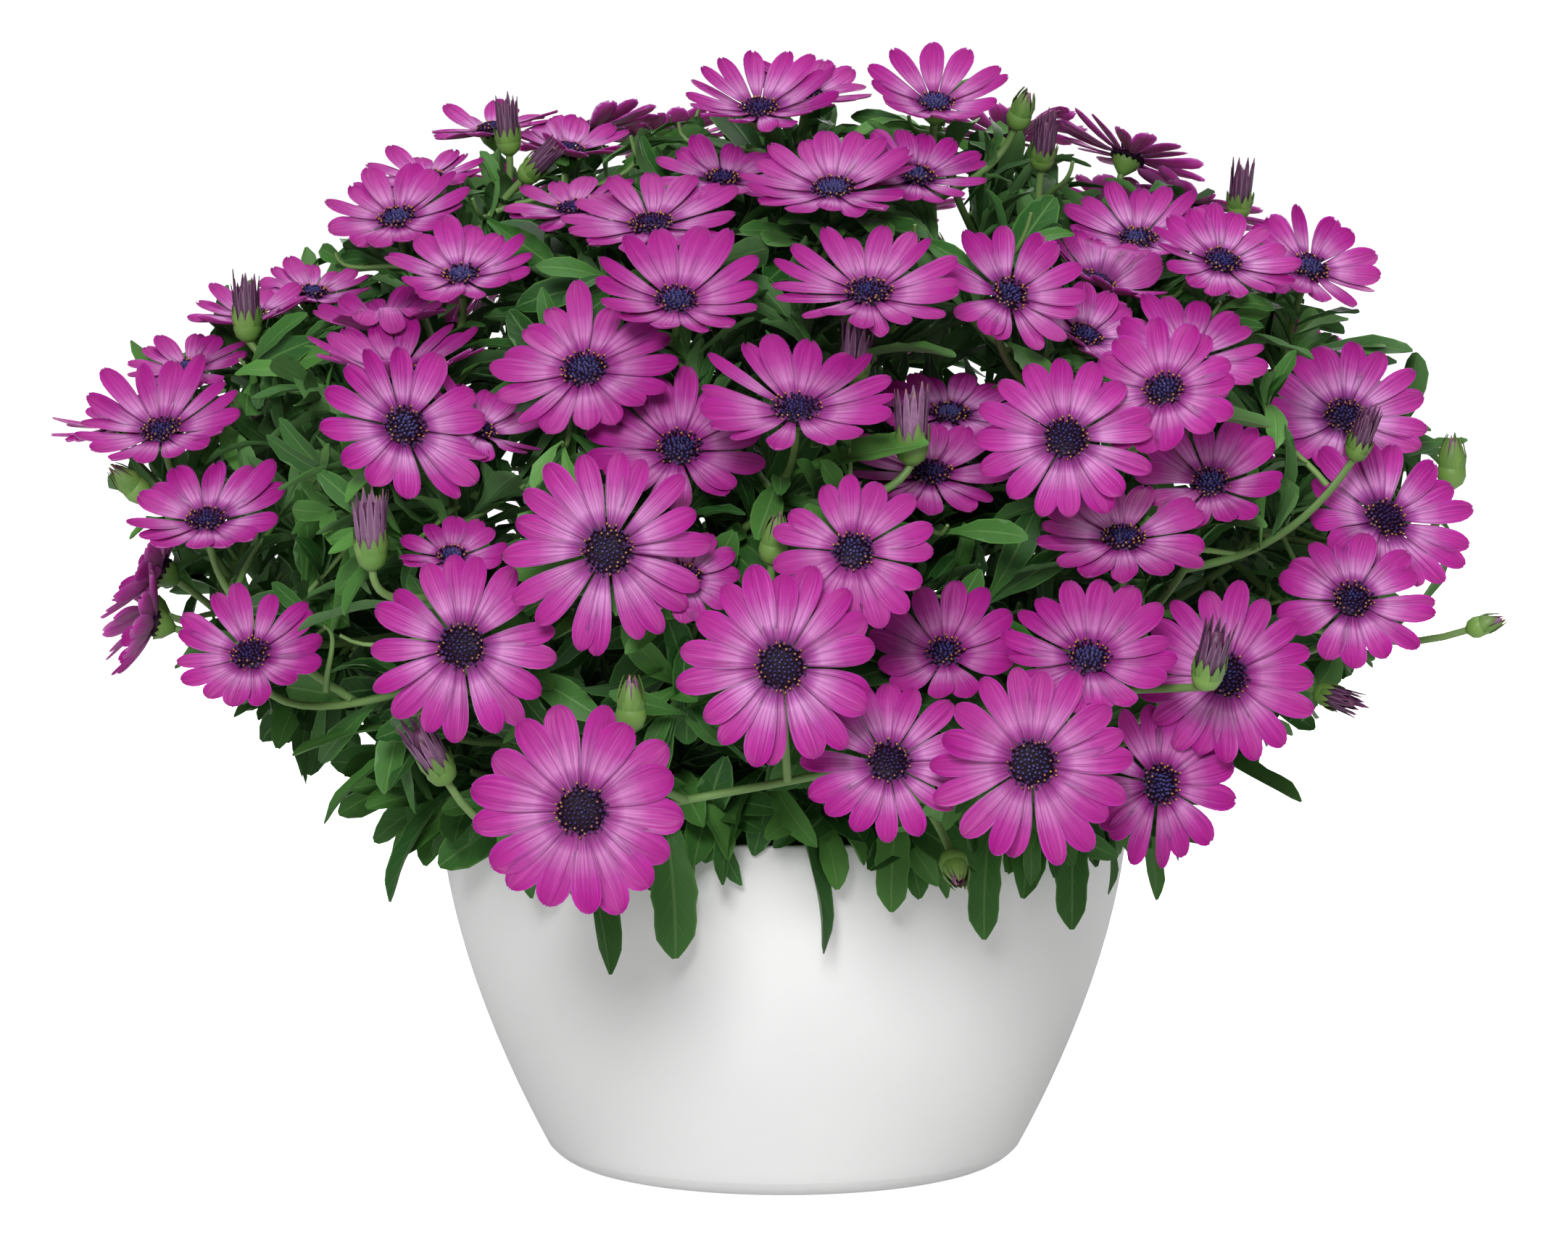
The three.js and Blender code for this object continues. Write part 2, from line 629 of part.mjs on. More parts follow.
function layRimLeaves(blooms, stems) {
  const leaves = [];
  for (const { root, tips } of rimSprays()) {
    const sector = sectorOf(root);
    const arrive = vec(root.x, root.y, 0).normalize().multiplyScalar(0.9).add(vec(0, 0, 0.3)).normalize();
    const stem = routeStem(along(root, arrive, 1), arrive, sector, blooms, stems, null);
    if (stem.fault > LIKING * CLEAR.stemToStem) continue;
    const fitting = tips
      .map(({ tip, halfWidth }) => makeLeaf(root, tip, RIM_OUTLINE, halfWidth, 5, 0, sector))
      .filter((leaf) => leafFault(leaf, blooms, stems, []) === 0);
    if (fitting.length === 0) continue;
    stems.push({ ...stem, kind: "leaf" });
    leaves.push(...fitting);
  }
  return leaves;
}

// ---------------------------------------------------------------- solids

function solidOf(points, faces) {
  const mesh = new wasm.Mesh({
    numProp: 3,
    vertProperties: new Float32Array(points.flatMap((point) => [point.x, point.y, point.z])),
    triVerts: new Uint32Array(faces.flat()),
  });
  return new wasm.Manifold(mesh);
}

function solidOfGeometry(geometry) {
  geometry.deleteAttribute("normal");
  geometry.deleteAttribute("uv");
  const merged = mergeVertices(geometry, 1e-4);
  const index = Array.from(merged.index.array);
  const faces = [];
  for (let k = 0; k < index.length; k += 3) {
    const [a, b, c] = index.slice(k, k + 3);
    if (a !== b && b !== c && c !== a) faces.push([a, b, c]);
  }
  const spots = merged.getAttribute("position");
  const points = [];
  for (let k = 0; k < spots.count; k += 1) points.push(vec(spots.getX(k), spots.getY(k), spots.getZ(k)));
  return solidOf(points, faces);
}

function joined(solids) {
  let whole = solids[0];
  for (const solid of solids.slice(1)) whole = whole.add(solid);
  return whole.simplify(FINEST);
}

// A ring of petals in one closed shell: each petal has a ridge above, and its edge is shared by its
// upper and its lower face. The florets are a ring of beads round the disc's crown.
function bloomSolid(bloom, petals, start, random) {
  const points = [];
  const faces = [];
  const put = (angle, share, rise) => {
    points.push(dishPoint(bloom, angle, share * bloom.radius, rise));
    return points.length - 1;
  };
  const pitch = (2 * Math.PI) / petals;
  const under = put(0, 0, -DISC.under);
  const crown = put(0, 0, DISC.dome);
  const valleys = [];
  const beads = [];
  for (let k = 0; k < petals; k += 1) {
    const angle = start + (k + 0.5) * pitch;
    valleys.push(put(angle, PETAL.valley, 0));
    beads.push(put(angle, DISC.radius, DISC.rise + (k % 2) * DISC.bead));
  }
  for (let k = 0; k < petals; k += 1) {
    const before = (k + petals - 1) % petals;
    const angle = start + k * pitch;
    const lift = random(-PETAL.flutter, PETAL.flutter);
    const reach = random(0.93, 1);
    const half = (pitch / 2) * PETAL.widthShare;
    const right = put(angle - half, PETAL.shoulder, lift);
    const tip = put(angle, reach, lift);
    const left = put(angle + half, PETAL.shoulder, lift);
    const ridge = put(angle, PETAL.ridge, PETAL.ridgeRise + lift / 2);
    const rim = [valleys[before], right, tip, left, valleys[k], beads[k], beads[before]];
    rim.forEach((point, n) => faces.push([ridge, point, rim[(n + 1) % rim.length]]));
    faces.push([beads[before], beads[k], crown]);
    faces.push([valleys[before], left, right], [right, left, tip]);
    faces.push([valleys[before], valleys[k], left], [under, valleys[k], valleys[before]]);
  }
  return solidOf(points, faces);
}

// A tube with three sides along a line of points, with a radius for each point
function tubeSolid(line, radii) {
  const sides = 3;
  const points = [];
  const faces = [];
  let side = vec(0.31, 0.95, 0.05);
  line.forEach((point, k) => {
    const ahead = line[Math.min(k + 1, line.length - 1)].clone().sub(line[Math.max(k - 1, 0)]).normalize();
    side = side.clone().addScaledVector(ahead, -side.dot(ahead)).normalize();
    const other = ahead.clone().cross(side);
    for (let s = 0; s < sides; s += 1) {
      const angle = (2 * Math.PI * s) / sides;
      points.push(along(point, side, Math.cos(angle) * radii[k]).addScaledVector(other, Math.sin(angle) * radii[k]));
    }
  });
  const last = (line.length - 1) * sides;
  for (let k = 0; k + 1 < line.length; k += 1) {
    for (let s = 0; s < sides; s += 1) {
      const a = k * sides + s;
      const b = k * sides + ((s + 1) % sides);
      faces.push([a, b, b + sides], [a, b + sides, a + sides]);
    }
  }
  faces.push([0, 2, 1], [last, last + 1, last + 2]);
  return solidOf(points, faces);
}

function stemSolid(stem) {
  const line = [...stem.points];
  const radii = line.map(() => (stem.kind === "limb" ? STEM.limbRadius : STEM.radius));
  if (stem.kind !== "limb") radii[0] = STEM.rootRadius;
  if (stem.kind === "bloom") {
    line.push(along(stem.bloom.centre, stem.bloom.normal, -DISC.under - GAP));
    radii.push(STEM.calyxRadius);
  }
  return tubeSolid(line, radii);
}

// A closed bud: a cup of green bracts, widest below the middle, with folded petals at its point
function budSolid(bud) {
  const geometry = new THREE.LatheGeometry(
    [[0, -0.12], [0.5, 0.02], [1, 0.3], [0.78, 0.72], [0, 1]].map(([share, rise]) => (
      new THREE.Vector2(share * bud.radius, rise * bud.length)
    )),
    4,
  );
  geometry.applyQuaternion(new THREE.Quaternion().setFromUnitVectors(vec(0, 1, 0), bud.axis));
  geometry.translate(bud.base.x, bud.base.y, bud.base.z);
  return solidOfGeometry(geometry);
}

// A leaf: its toothed edge, with the blade's middle raised above and below
function leafSolid(leaf) {
  const count = leaf.edge.length;
  const faces = leaf.edge.flatMap((_, k) => [
    [k, (k + 1) % count, count],
    [(k + 1) % count, k, count + 1],
  ]);
  return solidOf([...leaf.edge, ...leaf.middle], faces);
}

function crownSolid(sector) {
  const angle = (sector * 360) / SECTORS;
  const place = atBearing(angle, CROWN.distance, 0);
  const foot = SOIL.top - HOLE.depth + GAP + 1;
  const height = SOIL.top + CROWN.rise - foot;
  const geometry = new THREE.CylinderGeometry(CROWN.radius * 0.7, CROWN.radius, height, HOLE.sides);
  geometry.rotateX(Math.PI / 2);
  geometry.translate(place.x, place.y, foot + height / 2);
  return solidOfGeometry(geometry);
}

// ---------------------------------------------------------------- pot and soil

function lathe(profile) {
  const geometry = new THREE.LatheGeometry(profile.map(([r, up]) => new THREE.Vector2(r, up)), POT.sides);
  geometry.rotateX(Math.PI / 2);
  return geometry;
}

const WALL_LEVELS = [12, 36, 84];

function potSolid() {
  const outer = WALL_LEVELS.map((up) => [potRadius(up), up]);
  const inner = WALL_LEVELS.map((up) => [potRadius(up) - POT.wall, up]).reverse();
  return solidOfGeometry(lathe([
    [0, 0], [POT.footRadius, 0], [POT.baseRadius - 3.5, 2.5], ...outer,
    [POT.rimRadius, POT.height], [POT.rimRadius - POT.wall, POT.height], ...inner,
    [POT.baseRadius - POT.wall - 3, POT.floor], [0, POT.floor],
  ]));
}

// Potting soil fills the pot to below its rim. Its top is mounded and crumbly, with a hole for each
// leafy stem.
function soilSolid() {
  const levels = WALL_LEVELS.map((up) => [potRadius(up) - POT.wall - GAP, up]);
  const below = WALL_LEVELS[WALL_LEVELS.length - 1];
  const edge = potRadius(below)
    + (POT.rimRadius - potRadius(below)) * ((SOIL.top - below) / (POT.height - below));
  const geometry = lathe([
    [0, POT.floor + GAP], [POT.baseRadius - POT.wall - 3 - GAP, POT.floor + GAP], ...levels,
    [edge - POT.wall - GAP, SOIL.top], [88, SOIL.top + 2], [56, SOIL.top + 1], [0, SOIL.top + 4],
  ]);
  const spots = geometry.getAttribute("position");
  for (let k = 0; k < spots.count; k += 1) {
    const reach = Math.hypot(spots.getX(k), spots.getY(k));
    if (spots.getZ(k) < SOIL.top - 1 || reach > 100 || reach < 1) continue;
    const angle = Math.atan2(spots.getY(k), spots.getX(k));
    const lump = SOIL.lump * Math.sin(5 * angle + reach) * Math.cos(3 * angle + 0.2 * reach);
    spots.setZ(k, spots.getZ(k) + lump);
  }
  let soil = solidOfGeometry(geometry);
  for (let sector = 0; sector < SECTORS; sector += 1) {
    const place = atBearing((sector * 360) / SECTORS, CROWN.distance, 0);
    const hole = new THREE.CylinderGeometry(HOLE.radius, HOLE.radius, HOLE.depth + 20, HOLE.sides);
    hole.rotateX(Math.PI / 2);
    hole.translate(place.x, place.y, SOIL.top + 10 - HOLE.depth / 2);
    soil = soil.subtract(solidOfGeometry(hole));
  }
  return soil;
}

// ---------------------------------------------------------------- assembly

const COLOURS = { bloom: "#b03a94", stem: "#3f6b33", pot: "#e6e6e6", soil: "#33241a" };

function meshOf(name, solid, colour, roughness) {
  const { vertProperties, triVerts } = solid.getMesh();
  const geometry = new THREE.BufferGeometry();
  geometry.setAttribute("position", new THREE.BufferAttribute(new Float32Array(vertProperties), 3));
  geometry.setIndex(new THREE.BufferAttribute(new Uint32Array(triVerts), 1));
  geometry.computeVertexNormals();
  const mesh = new THREE.Mesh(geometry, new THREE.MeshStandardMaterial({ color: colour, roughness }));
  mesh.name = name;
  return mesh;
}

const blooms = layBlooms();
gather(blooms);
spread(blooms, 160);
const stems = layStems(blooms);
const buds = layBuds(blooms, stems);
const leaves = layRimLeaves(blooms, stems);
layLeaves(blooms, stems, leaves);

const plant = new THREE.Group();
plant.add(meshOf("pot", potSolid(), COLOURS.pot, 0.55));
plant.add(meshOf("soil", soilSolid(), COLOURS.soil, 0.95));

const inSector = (sector) => (item) => item.sector === sector;
for (let sector = 0; sector < SECTORS; sector += 1) {
  const solids = [
    crownSolid(sector),
    ...stems.filter(inSector(sector)).map(stemSolid),
    ...buds.filter(inSector(sector)).map(budSolid),
    ...leaves.filter(inSector(sector)).map(leafSolid),
  ];
  plant.add(meshOf(`leafy_stem_${sector + 1}`, joined(solids), COLOURS.stem, 0.6));
}

// The direction of another bloom in a bloom's own plane
function aimAt(bloom, other) {
  const way = other.centre.clone().sub(bloom.centre);
  return Math.atan2(way.dot(bloom.top), way.dot(bloom.side));
}

// The petals of two blooms that touch are turned to each other, and a little further where they would
// still pass through each other's gaps.
function groupSolid(members, petals, random) {
  const partner = members[1];
  let whole = bloomSolid(members[0], petals, partner ? aimAt(members[0], partner) : random(0, 1), random);
  for (const bloom of members.slice(1)) {
    const start = aimAt(bloom, members[0]);
    for (const turn of [0, 0.12, -0.12, 0.24, -0.24, 0.36, -0.36]) {
      const both = whole.add(bloomSolid(bloom, petals, start + turn, random));
      if (both.decompose().length > 1) continue;
      whole = both;
      break;
    }
  }
  return whole.simplify(FINEST);
}

const petalRandom = seeded(2657);
const groups = 1 + Math.max(...blooms.map((bloom) => bloom.group));
for (let group = 0; group < groups; group += 1) {
  const members = blooms.filter((bloom) => bloom.group === group);
  const petals = members[0].radius > 27 && group < SHOW_GROUPS.length ? 8 : 7;
  const name = `bloom_${String(group + 1).padStart(2, "0")}`;
  plant.add(meshOf(name, groupSolid(members, petals, petalRandom), COLOURS.bloom, 0.5));
}

export default plant;
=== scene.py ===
"""Osteospermum (African daisy) in full bloom in a white bowl pot: the finished surfaces.

The plant is laid out by the same rules as its solids, in millimetres with +Z up and the show side
facing -Y. Then each bloom, stem, bud and leaf is built fine over its solid. Places are given as the
show side has them: across (+X), up (+Z) and out towards the viewer (-Y).
"""

import math

import bpy
import numpy as np
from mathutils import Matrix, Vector, noise


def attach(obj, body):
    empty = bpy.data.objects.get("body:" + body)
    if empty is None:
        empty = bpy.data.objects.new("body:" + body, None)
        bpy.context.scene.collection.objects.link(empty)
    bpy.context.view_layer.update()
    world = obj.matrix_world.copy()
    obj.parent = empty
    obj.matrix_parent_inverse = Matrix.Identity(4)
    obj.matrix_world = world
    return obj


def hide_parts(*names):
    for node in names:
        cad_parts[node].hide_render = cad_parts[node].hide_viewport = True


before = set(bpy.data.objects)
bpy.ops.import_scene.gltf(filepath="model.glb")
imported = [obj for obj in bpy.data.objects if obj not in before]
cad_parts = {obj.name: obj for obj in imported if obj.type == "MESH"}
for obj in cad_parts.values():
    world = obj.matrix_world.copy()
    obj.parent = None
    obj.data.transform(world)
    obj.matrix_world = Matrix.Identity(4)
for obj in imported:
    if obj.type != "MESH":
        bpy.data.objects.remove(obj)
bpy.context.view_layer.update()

# ---------------------------------------------------------------- driving dimensions, in mm

MM = 0.001
GAP = 0.3
VIEW_ELEVATION = 5.0  # degrees above level from which the show side is seen

POT_HEIGHT = 132
POT_RIM = 126
POT_BASE = 83
POT_FOOT = 70
POT_BULGE = 1.7
POT_WALL = 4
POT_FLOOR = 5
SOIL_TOP = 118
SOIL_MOUND = 7

PETAL_MIDDLE = 0.6
DISC_SHARE = 0.2
DISC_DOME = 3.1
DISC_UNDER = 1.2
DISH_POWER = 1.5
HEART = (DISC_DOME, 0, -4, -9, -14)

STEM_RADIUS = 1.4
LIMB_RADIUS = 2.6
CALYX_RADIUS = 3.4
CALYX_LENGTH = 6
SECTORS = 8
CROWN_DISTANCE = 40
CROWN_RADIUS = 5.2
CROWN_RISE = 10
CROWN_DEPTH = 12
CROWN_SIDES = 16
LIMB_SUNK = 3

# Two limbs rise from each crown, one up into the dome and one out to its side: distance from the
# middle and height of the bend and of the end
LIMBS = [[(46, 190), (50, 262)], [(84, 160), (128, 196)]]
FORKS = {"limb": 1, "bloom": 0.6}
FORK_PITCH = 7
FORK_CHOICES = 4
FORK_APART = 20
FORK_CROWDED = 15  # how much further off a place counts where stems already fork
OWN_REACH = 12  # how near its root a stem or leaf may touch others of its sector
LIKING = 0.05  # how much nearness to its own sector's stems counts against a route
STEM_SHORTEST = 34
STEM_FORWARD = 0.3  # least share of a stem that runs the way it arrives
STEM_LONG = 110  # longer stems have three straight lengths, shorter ones two
STEM_SWINGS = (0, 8, 16, 26, 38)
STEM_TURNS = 10
STEM_ARRIVALS = (0.42, 0.25, 0.6)  # shares of a stem's length over which it turns to arrive
SAMPLE_SPACING = 4
BODY_SPACING = 3

CLEAR = {
    "dish": 3.6,
    "disc": 1.2,
    "stub": 9,
    "stem": 3.4,
    "stem_to_stem": 4.6,
    "leaf": 2.8,
    "leaf_to_stem": 3,
    "pot": 2.2,
    "bud": 2.4,
    "bud_to_stem": 0.6,
}
DISH_EDGE = 1.5  # how far in from a dish's rim points may already be under or over it
DISH_FAR = 12  # points this much further off than a dish's rim aren't in it
OWN_HEART = 14  # how near the middle of its own bloom a stem may be
RING_POINTS = 24

# One row a bloom: across, up, out, radius, turn (to the right), tilt (of its face above level) and
# cup (rise of the petal tips, as a share of the radius). Blooms in one group touch.
SHOW_GROUPS = [
    [[-9, 379, 50, 29, 0, 60, 0.36], [18, 371, 5, 24, 20, 66, 0.3]],
    [[52, 376, 60, 26, 5, 57, 0.42]],
    [[18, 352, 105, 32, -5, 62, 0.26], [49, 351, 84, 25, 15, 55, 0.3]],
    [[-107, 377, -30, 25, -40, 76, 0.15], [-79, 369, -10, 24, 20, 72, 0.34]],
    [[-136, 345, 60, 28, -15, 58, 0.28], [-121, 360, 5, 24, -20, 72, 0.2]],
    [[-111, 328, 106, 26, -5, 60, 0.28]],
    [[-45, 345, 100, 33, -5, 64, 0.22], [-75, 337, 70, 25, -20, 70, 0.2], [-13, 356, 52, 26, 10, 68, 0.2]],
    [[-36, 317, 150, 31, 5, 52, 0.34]],
    [[27, 321, 155, 33, 0, 56, 0.22]],
    [[75, 324, 138, 27, 18, 36, 0.3]],
    [[127, 337, 20, 28, 0, 60, 0.34], [108, 328, 66, 24, 50, 58, 0.42]],
    [[150, 325, 88, 27, 18, 52, 0.22]],
    [[188, 327, 30, 28, 18, 48, 0.2]],
    [[-66, 302, 165, 33, -10, 45, 0.1]],
    [[-130, 298, 130, 31, 0, 76, 0.4], [-144, 320, 60, 24, -20, 72, 0.3]],
    [[-192, 304, 10, 24, -30, 74, 0.28], [-172, 312, -14, 23, 10, 70, 0.28]],
    [[-220, 272, 60, 31, -12, 56, 0.3], [-210, 289, 6, 24, -15, 68, 0.24],
     [-243, 248, 18, 23, -50, 70, 0.12]],
    [[-200, 244, 100, 29, -5, 59, 0.28]],
    [[-224, 219, 30, 26, -84, 34, 0.36], [-236, 194, -18, 24, -96, 22, 0.36],
     [-214, 192, 54, 23, -82, 16, 0.36]],
    [[-181, 198, 135, 28, -8, 44, 0.24]],
    [[-127, 273, 170, 31, 24, 30, 0.14], [-102, 273, 158, 23, 44, 56, 0.36]],
    [[-105, 208, 205, 33, -8, 12, 0.04], [-108, 240, 160, 19, 5, 55, 0.2]],
    [[4, 284, 192, 35, 0, 58, 0.24]],
    [[-35, 271, 175, 32, 0, 44, 0.18]],
    [[49, 261, 158, 30, 5, 60, 0.12], [60, 298, 115, 29, 8, 66, 0.1]],
    [[92, 275, 196, 31, 0, 28, 0.03], [125, 278, 162, 27, -14, 34, 0.14]],
    [[140, 299, 122, 28, 8, 48, 0.24], [104, 299, 112, 24, 34, 52, 0.4]],
    [[199, 278, 60, 31, 4, 40, 0.2]],
    [[112, 243, 184, 31, 0, 60, 0.12], [158, 252, 134, 26, -6, 44, 0.38]],
    [[193, 213, 122, 29, 4, 38, 0.1], [206, 224, 72, 33, 26, 36, 0.18]],
    [[146, 196, 182, 32, 16, 12, 0.02], [120, 158, 186, 30, 30, 4, 0.06]],
    [[79, 176, 232, 34, 3, 8, 0.0], [98, 206, 200, 30, 0, 46, 0.24]],
    [[53, 208, 195, 26, -5, 42, 0.36]],
    [[-1, 205, 243, 34, 0, 8, 0.0], [24, 240, 206, 28, 0, 26, 0.06]],
    [[-57, 240, 215, 35, 0, 10, 0.02], [-32, 235, 236, 20, 8, 40, 0.1]],
    [[-65, 158, 238, 36, -2, 10, 0.04]],
    [[34, 170, 226, 30, 4, 28, 0.1]],
]

# Behind, the dome goes on in rows of pairs: pairs in the row, height, and the row's first and last
# bearing round the pot (0 is the show side, 90 its right).
BACK_ROWS = [
    (2, 376, 100, 260), (3, 348, 104, 256), (3, 296, 110, 252), (3, 240, 112, 252), (2, 184, 130, 230),
]
SHIFT_STEP = 2
FURTHEST_SHIFT = 60
SPREAD_ROUNDS = 160
SPREAD_SHARE = 0.25  # share of its way that a group moves in a round, and the most that counts
SPREAD_MOST = 4
DOME_UP = 225
DOME_HALF_WIDTH = 246
DOME_HALF_DEPTH = 226
DOME_RISE = 178
DOME_DROP = 142

# Buds: across, up, out, radius, turn, tilt and kind: "green" is tight, and of those that show
# their folded petals some are "pale" and some "dark"
BUDS = [
    [-25, 404, 40, 4.4, 0, 86, "green"], [54, 402, 20, 3.4, 0, 84, "green"],
    [84, 384, 50, 4.6, 30, 55, "green"], [92, 370, 42, 4.6, 10, 62, "dark"],
    [-111, 376, 20, 4.6, -20, 80, "dark"], [-88, 364, 42, 4.4, 60, 40, "dark"],
    [-185, 311, 42, 5.2, -10, 84, "dark"], [-234, 257, 72, 5, -60, 40, "green"],
    [-136, 247, 190, 5.4, -10, 80, "pale"], [-115, 169, 192, 5.4, -40, 52, "pale"],
    [-51, 199, 232, 5.2, 5, 78, "green"], [-3, 244, 214, 5, 20, 70, "green"],
    [42, 276, 186, 5.6, 0, 84, "pale"], [238, 259, 44, 5.4, 10, 80, "green"],
    [246, 204, 78, 4, 70, 20, "green"], [188, 183, 122, 4.4, 40, -10, "dark"],
    [57, 131, 180, 5, 10, -30, "green"], [127, 204, 206, 5.4, 20, 60, "dark"],
    [158, 353, 18, 4.6, 10, 70, "dark"], [191, 263, 100, 4.4, 30, 60, "dark"],
    [26, 307, 168, 5.4, 10, 60, "pale"], [-120, 300, -150, 5, 150, 60, "dark"],
    [60, 330, -150, 5, 190, 60, "green"], [150, 250, -160, 5, 150, 40, "pale"],
]
BUD_SLIMNESS = 3.4
BUD_SHIFTS = [
    [0, 0], [6, 0], [-6, 0], [0, -6], [0, 6], [12, 0], [-12, 0], [6, -8], [-8, -8], [6, 8], [14, 6], [-16, 4],
    [20, 0],
]

# Leaves among the blooms: where on a bloom's stem, and how far out of the dome's middle they reach
LEAF_PLACE = 0.66
LEAF_REACH = 1.04
LEAF_TRIES = 16
LEAF_FOOT = 3  # the first bit of a leaf, which touches its stem

# Sprays that reach over the rim on the show side: where the leaves part, and each leaf's tip and
# half width
RIM_SPRAYS = [
    [[-82, 155, 104], [[-88, 112, 112, 6], [-58, 90, 134, 8]]],
    [[-44, 158, 122], [[-36, 96, 142, 8], [-18, 132, 150, 6]]],
    [[-6, 160, 131], [[-22, 122, 146, 6], [16, 98, 142, 7], [28, 130, 150, 6]]],
    [[41, 155, 122], [[62, 126, 138, 7], [36, 112, 142, 6]]],
    [[74, 155, 108], [[86, 118, 120, 5], [68, 100, 126, 6]]],
    [[102, 153, 82], [[100, 100, 102, 6], [116, 110, 84, 5]]],
    [[-110, 150, 64], [[-140, 108, 84, 8], [-158, 114, 64, 5]]],
    [[-118, 164, 74], [[-163, 136, 80, 6], [-171, 162, 96, 6]]],
    [[122, 160, 58], [[181, 146, 92, 7], [182, 178, 60, 5]]],
]
RIM_BACK_SPRAYS = 7
RIM_BACK_FROM = 98
RIM_BACK_TO = 262
RIM_BACK_SWEEPS = (-8, 9)  # degrees to each side
RIM_BACK_HALF_WIDTH = 6.5
RIM_BACK_DROP = 50
RIM_BACK_STEP = 8  # by how much reaches and drops vary
RIM_OUTLINE = [[0.3, 0.42], [0.56, 0.98], [0.66, 0.7], [0.82, 0.88]]
INNER_OUTLINE = [[0.48, 0.9], [0.6, 0.62], [0.8, 0.95]]


# ---------------------------------------------------------------- small helpers


def vec(x, y, z):
    return np.array([x, y, z], float)


def shown(across, up, out):
    return vec(across, -out, up)


def size_of(vector):
    return math.sqrt(float(vector @ vector))


def unit(vector):
    return vector / size_of(vector)


def unit_rows(vectors):
    return vectors / np.maximum(np.linalg.norm(vectors, axis=-1), 1e-6)[..., None]


def seeded(seed):
    """A source of evenly spread numbers, which is the same for the solids."""
    state = seed

    def draw(low, high):
        nonlocal state
        state = state * 16807 % 2147483647
        return low + (high - low) * state / 2147483647

    return draw


def bearing(point):
    """Degrees round the pot: 0 is the show side, 90 its right."""
    return (math.degrees(math.atan2(point[0], -point[1])) + 360) % 360


def at_bearing(angle, distance, up):
    turn = math.radians(angle)
    return vec(distance * math.sin(turn), -distance * math.cos(turn), up)


def facing(turn, tilt):
    """The way that something looks which is turned to the right and tilted up."""
    level = math.cos(math.radians(tilt))
    across = math.sin(math.radians(turn)) * level
    out = math.cos(math.radians(turn)) * level
    return vec(across, -out, math.sin(math.radians(tilt)))


# ---------------------------------------------------------------- layout: blooms


class Bloom:
    def __init__(self, place, radius, turn, tilt, cup, group):
        self.centre = place
        self.radius = radius
        self.cup = cup
        self.group = group
        self.normal = facing(turn, tilt)
        self.side = vec(math.cos(math.radians(turn)), math.sin(math.radians(turn)), 0)
        self.top = np.cross(self.normal, self.side)

    def height(self, distance):
        return self.cup * self.radius * (distance / self.radius) ** DISH_POWER

    def ring(self, share, count):
        """Points round the dish, in the middle of the petals' thickness."""
        angles = 2 * np.pi * np.arange(count) / count
        distance = share * self.radius
        rise = self.height(distance) + PETAL_MIDDLE
        flat = np.cos(angles)[:, None] * self.side + np.sin(angles)[:, None] * self.top
        return self.centre + distance * flat + rise * self.normal


class Dishes:
    """Every bloom's dish at once, for measuring points against them."""

    def __init__(self, blooms):
        self.blooms = blooms
        self.centre = np.array([bloom.centre for bloom in blooms])
        self.normal = np.array([bloom.normal for bloom in blooms])
        self.radius = np.array([float(bloom.radius) for bloom in blooms])
        self.cup = np.array([bloom.cup for bloom in blooms])

    def against(self, points):
        """Distance from each dish's axis and height over its petals, points by dishes."""
        away = points[:, None, :] - self.centre
        height = (away * self.normal).sum(-1)
        square = (away * away).sum(-1)
        distance = np.sqrt(np.maximum(0, square - height * height))
        share = np.minimum(distance, self.radius) / self.radius
        over = height - self.cup * self.radius * share**DISH_POWER - PETAL_MIDDLE
        return distance, over, square

    def fault(self, points, room, own=None):
        """How far the points reach into the dishes: 0 when they are clear of all."""
        distance, over, square = self.against(points)
        inside = distance < self.radius + room - DISH_EDGE
        inside &= square <= (self.radius + room + DISH_FAR) ** 2
        if own is not None:
            mine = self.blooms.index(own)
            inside[:, mine] &= square[:, mine] >= OWN_HEART * OWN_HEART
        return max(0.0, float(np.where(inside, room - np.abs(over), 0).max()))


def against_dish(bloom, points):
    """The same as Dishes.against, for one dish."""
    away = points - bloom.centre
    height = away @ bloom.normal
    distance = np.sqrt(np.maximum(0, (away * away).sum(-1) - height * height))
    over = height - bloom.height(np.minimum(distance, bloom.radius)) - PETAL_MIDDLE
    return distance, over


def dome_bloom(angle, up, radius, draw, group):
    """A bloom on the dome that faces out of it, more upward the higher it stands."""
    reach = DOME_RISE if up > DOME_UP else DOME_DROP
    ring = math.sqrt(1 - ((up - DOME_UP) / reach) ** 2)
    turn = math.radians(angle)
    place = vec(DOME_HALF_WIDTH * ring * math.sin(turn), -DOME_HALF_DEPTH * ring * math.cos(turn), up)
    tilt = 14 + (up - 170) * 0.28 + draw(-8, 8)
    return Bloom(place, radius, angle + draw(-16, 16), tilt, draw(0.02, 0.3), group)


def dome_share(points):
    """How far out of the dome's middle points are: 1 on the dome."""
    up = points[..., 2] - DOME_UP
    reach = np.where(up > 0, DOME_RISE, DOME_DROP)
    across = points[..., 0] / DOME_HALF_WIDTH
    out = points[..., 1] / DOME_HALF_DEPTH
    return np.sqrt(across * across + out * out + (up / reach) ** 2)


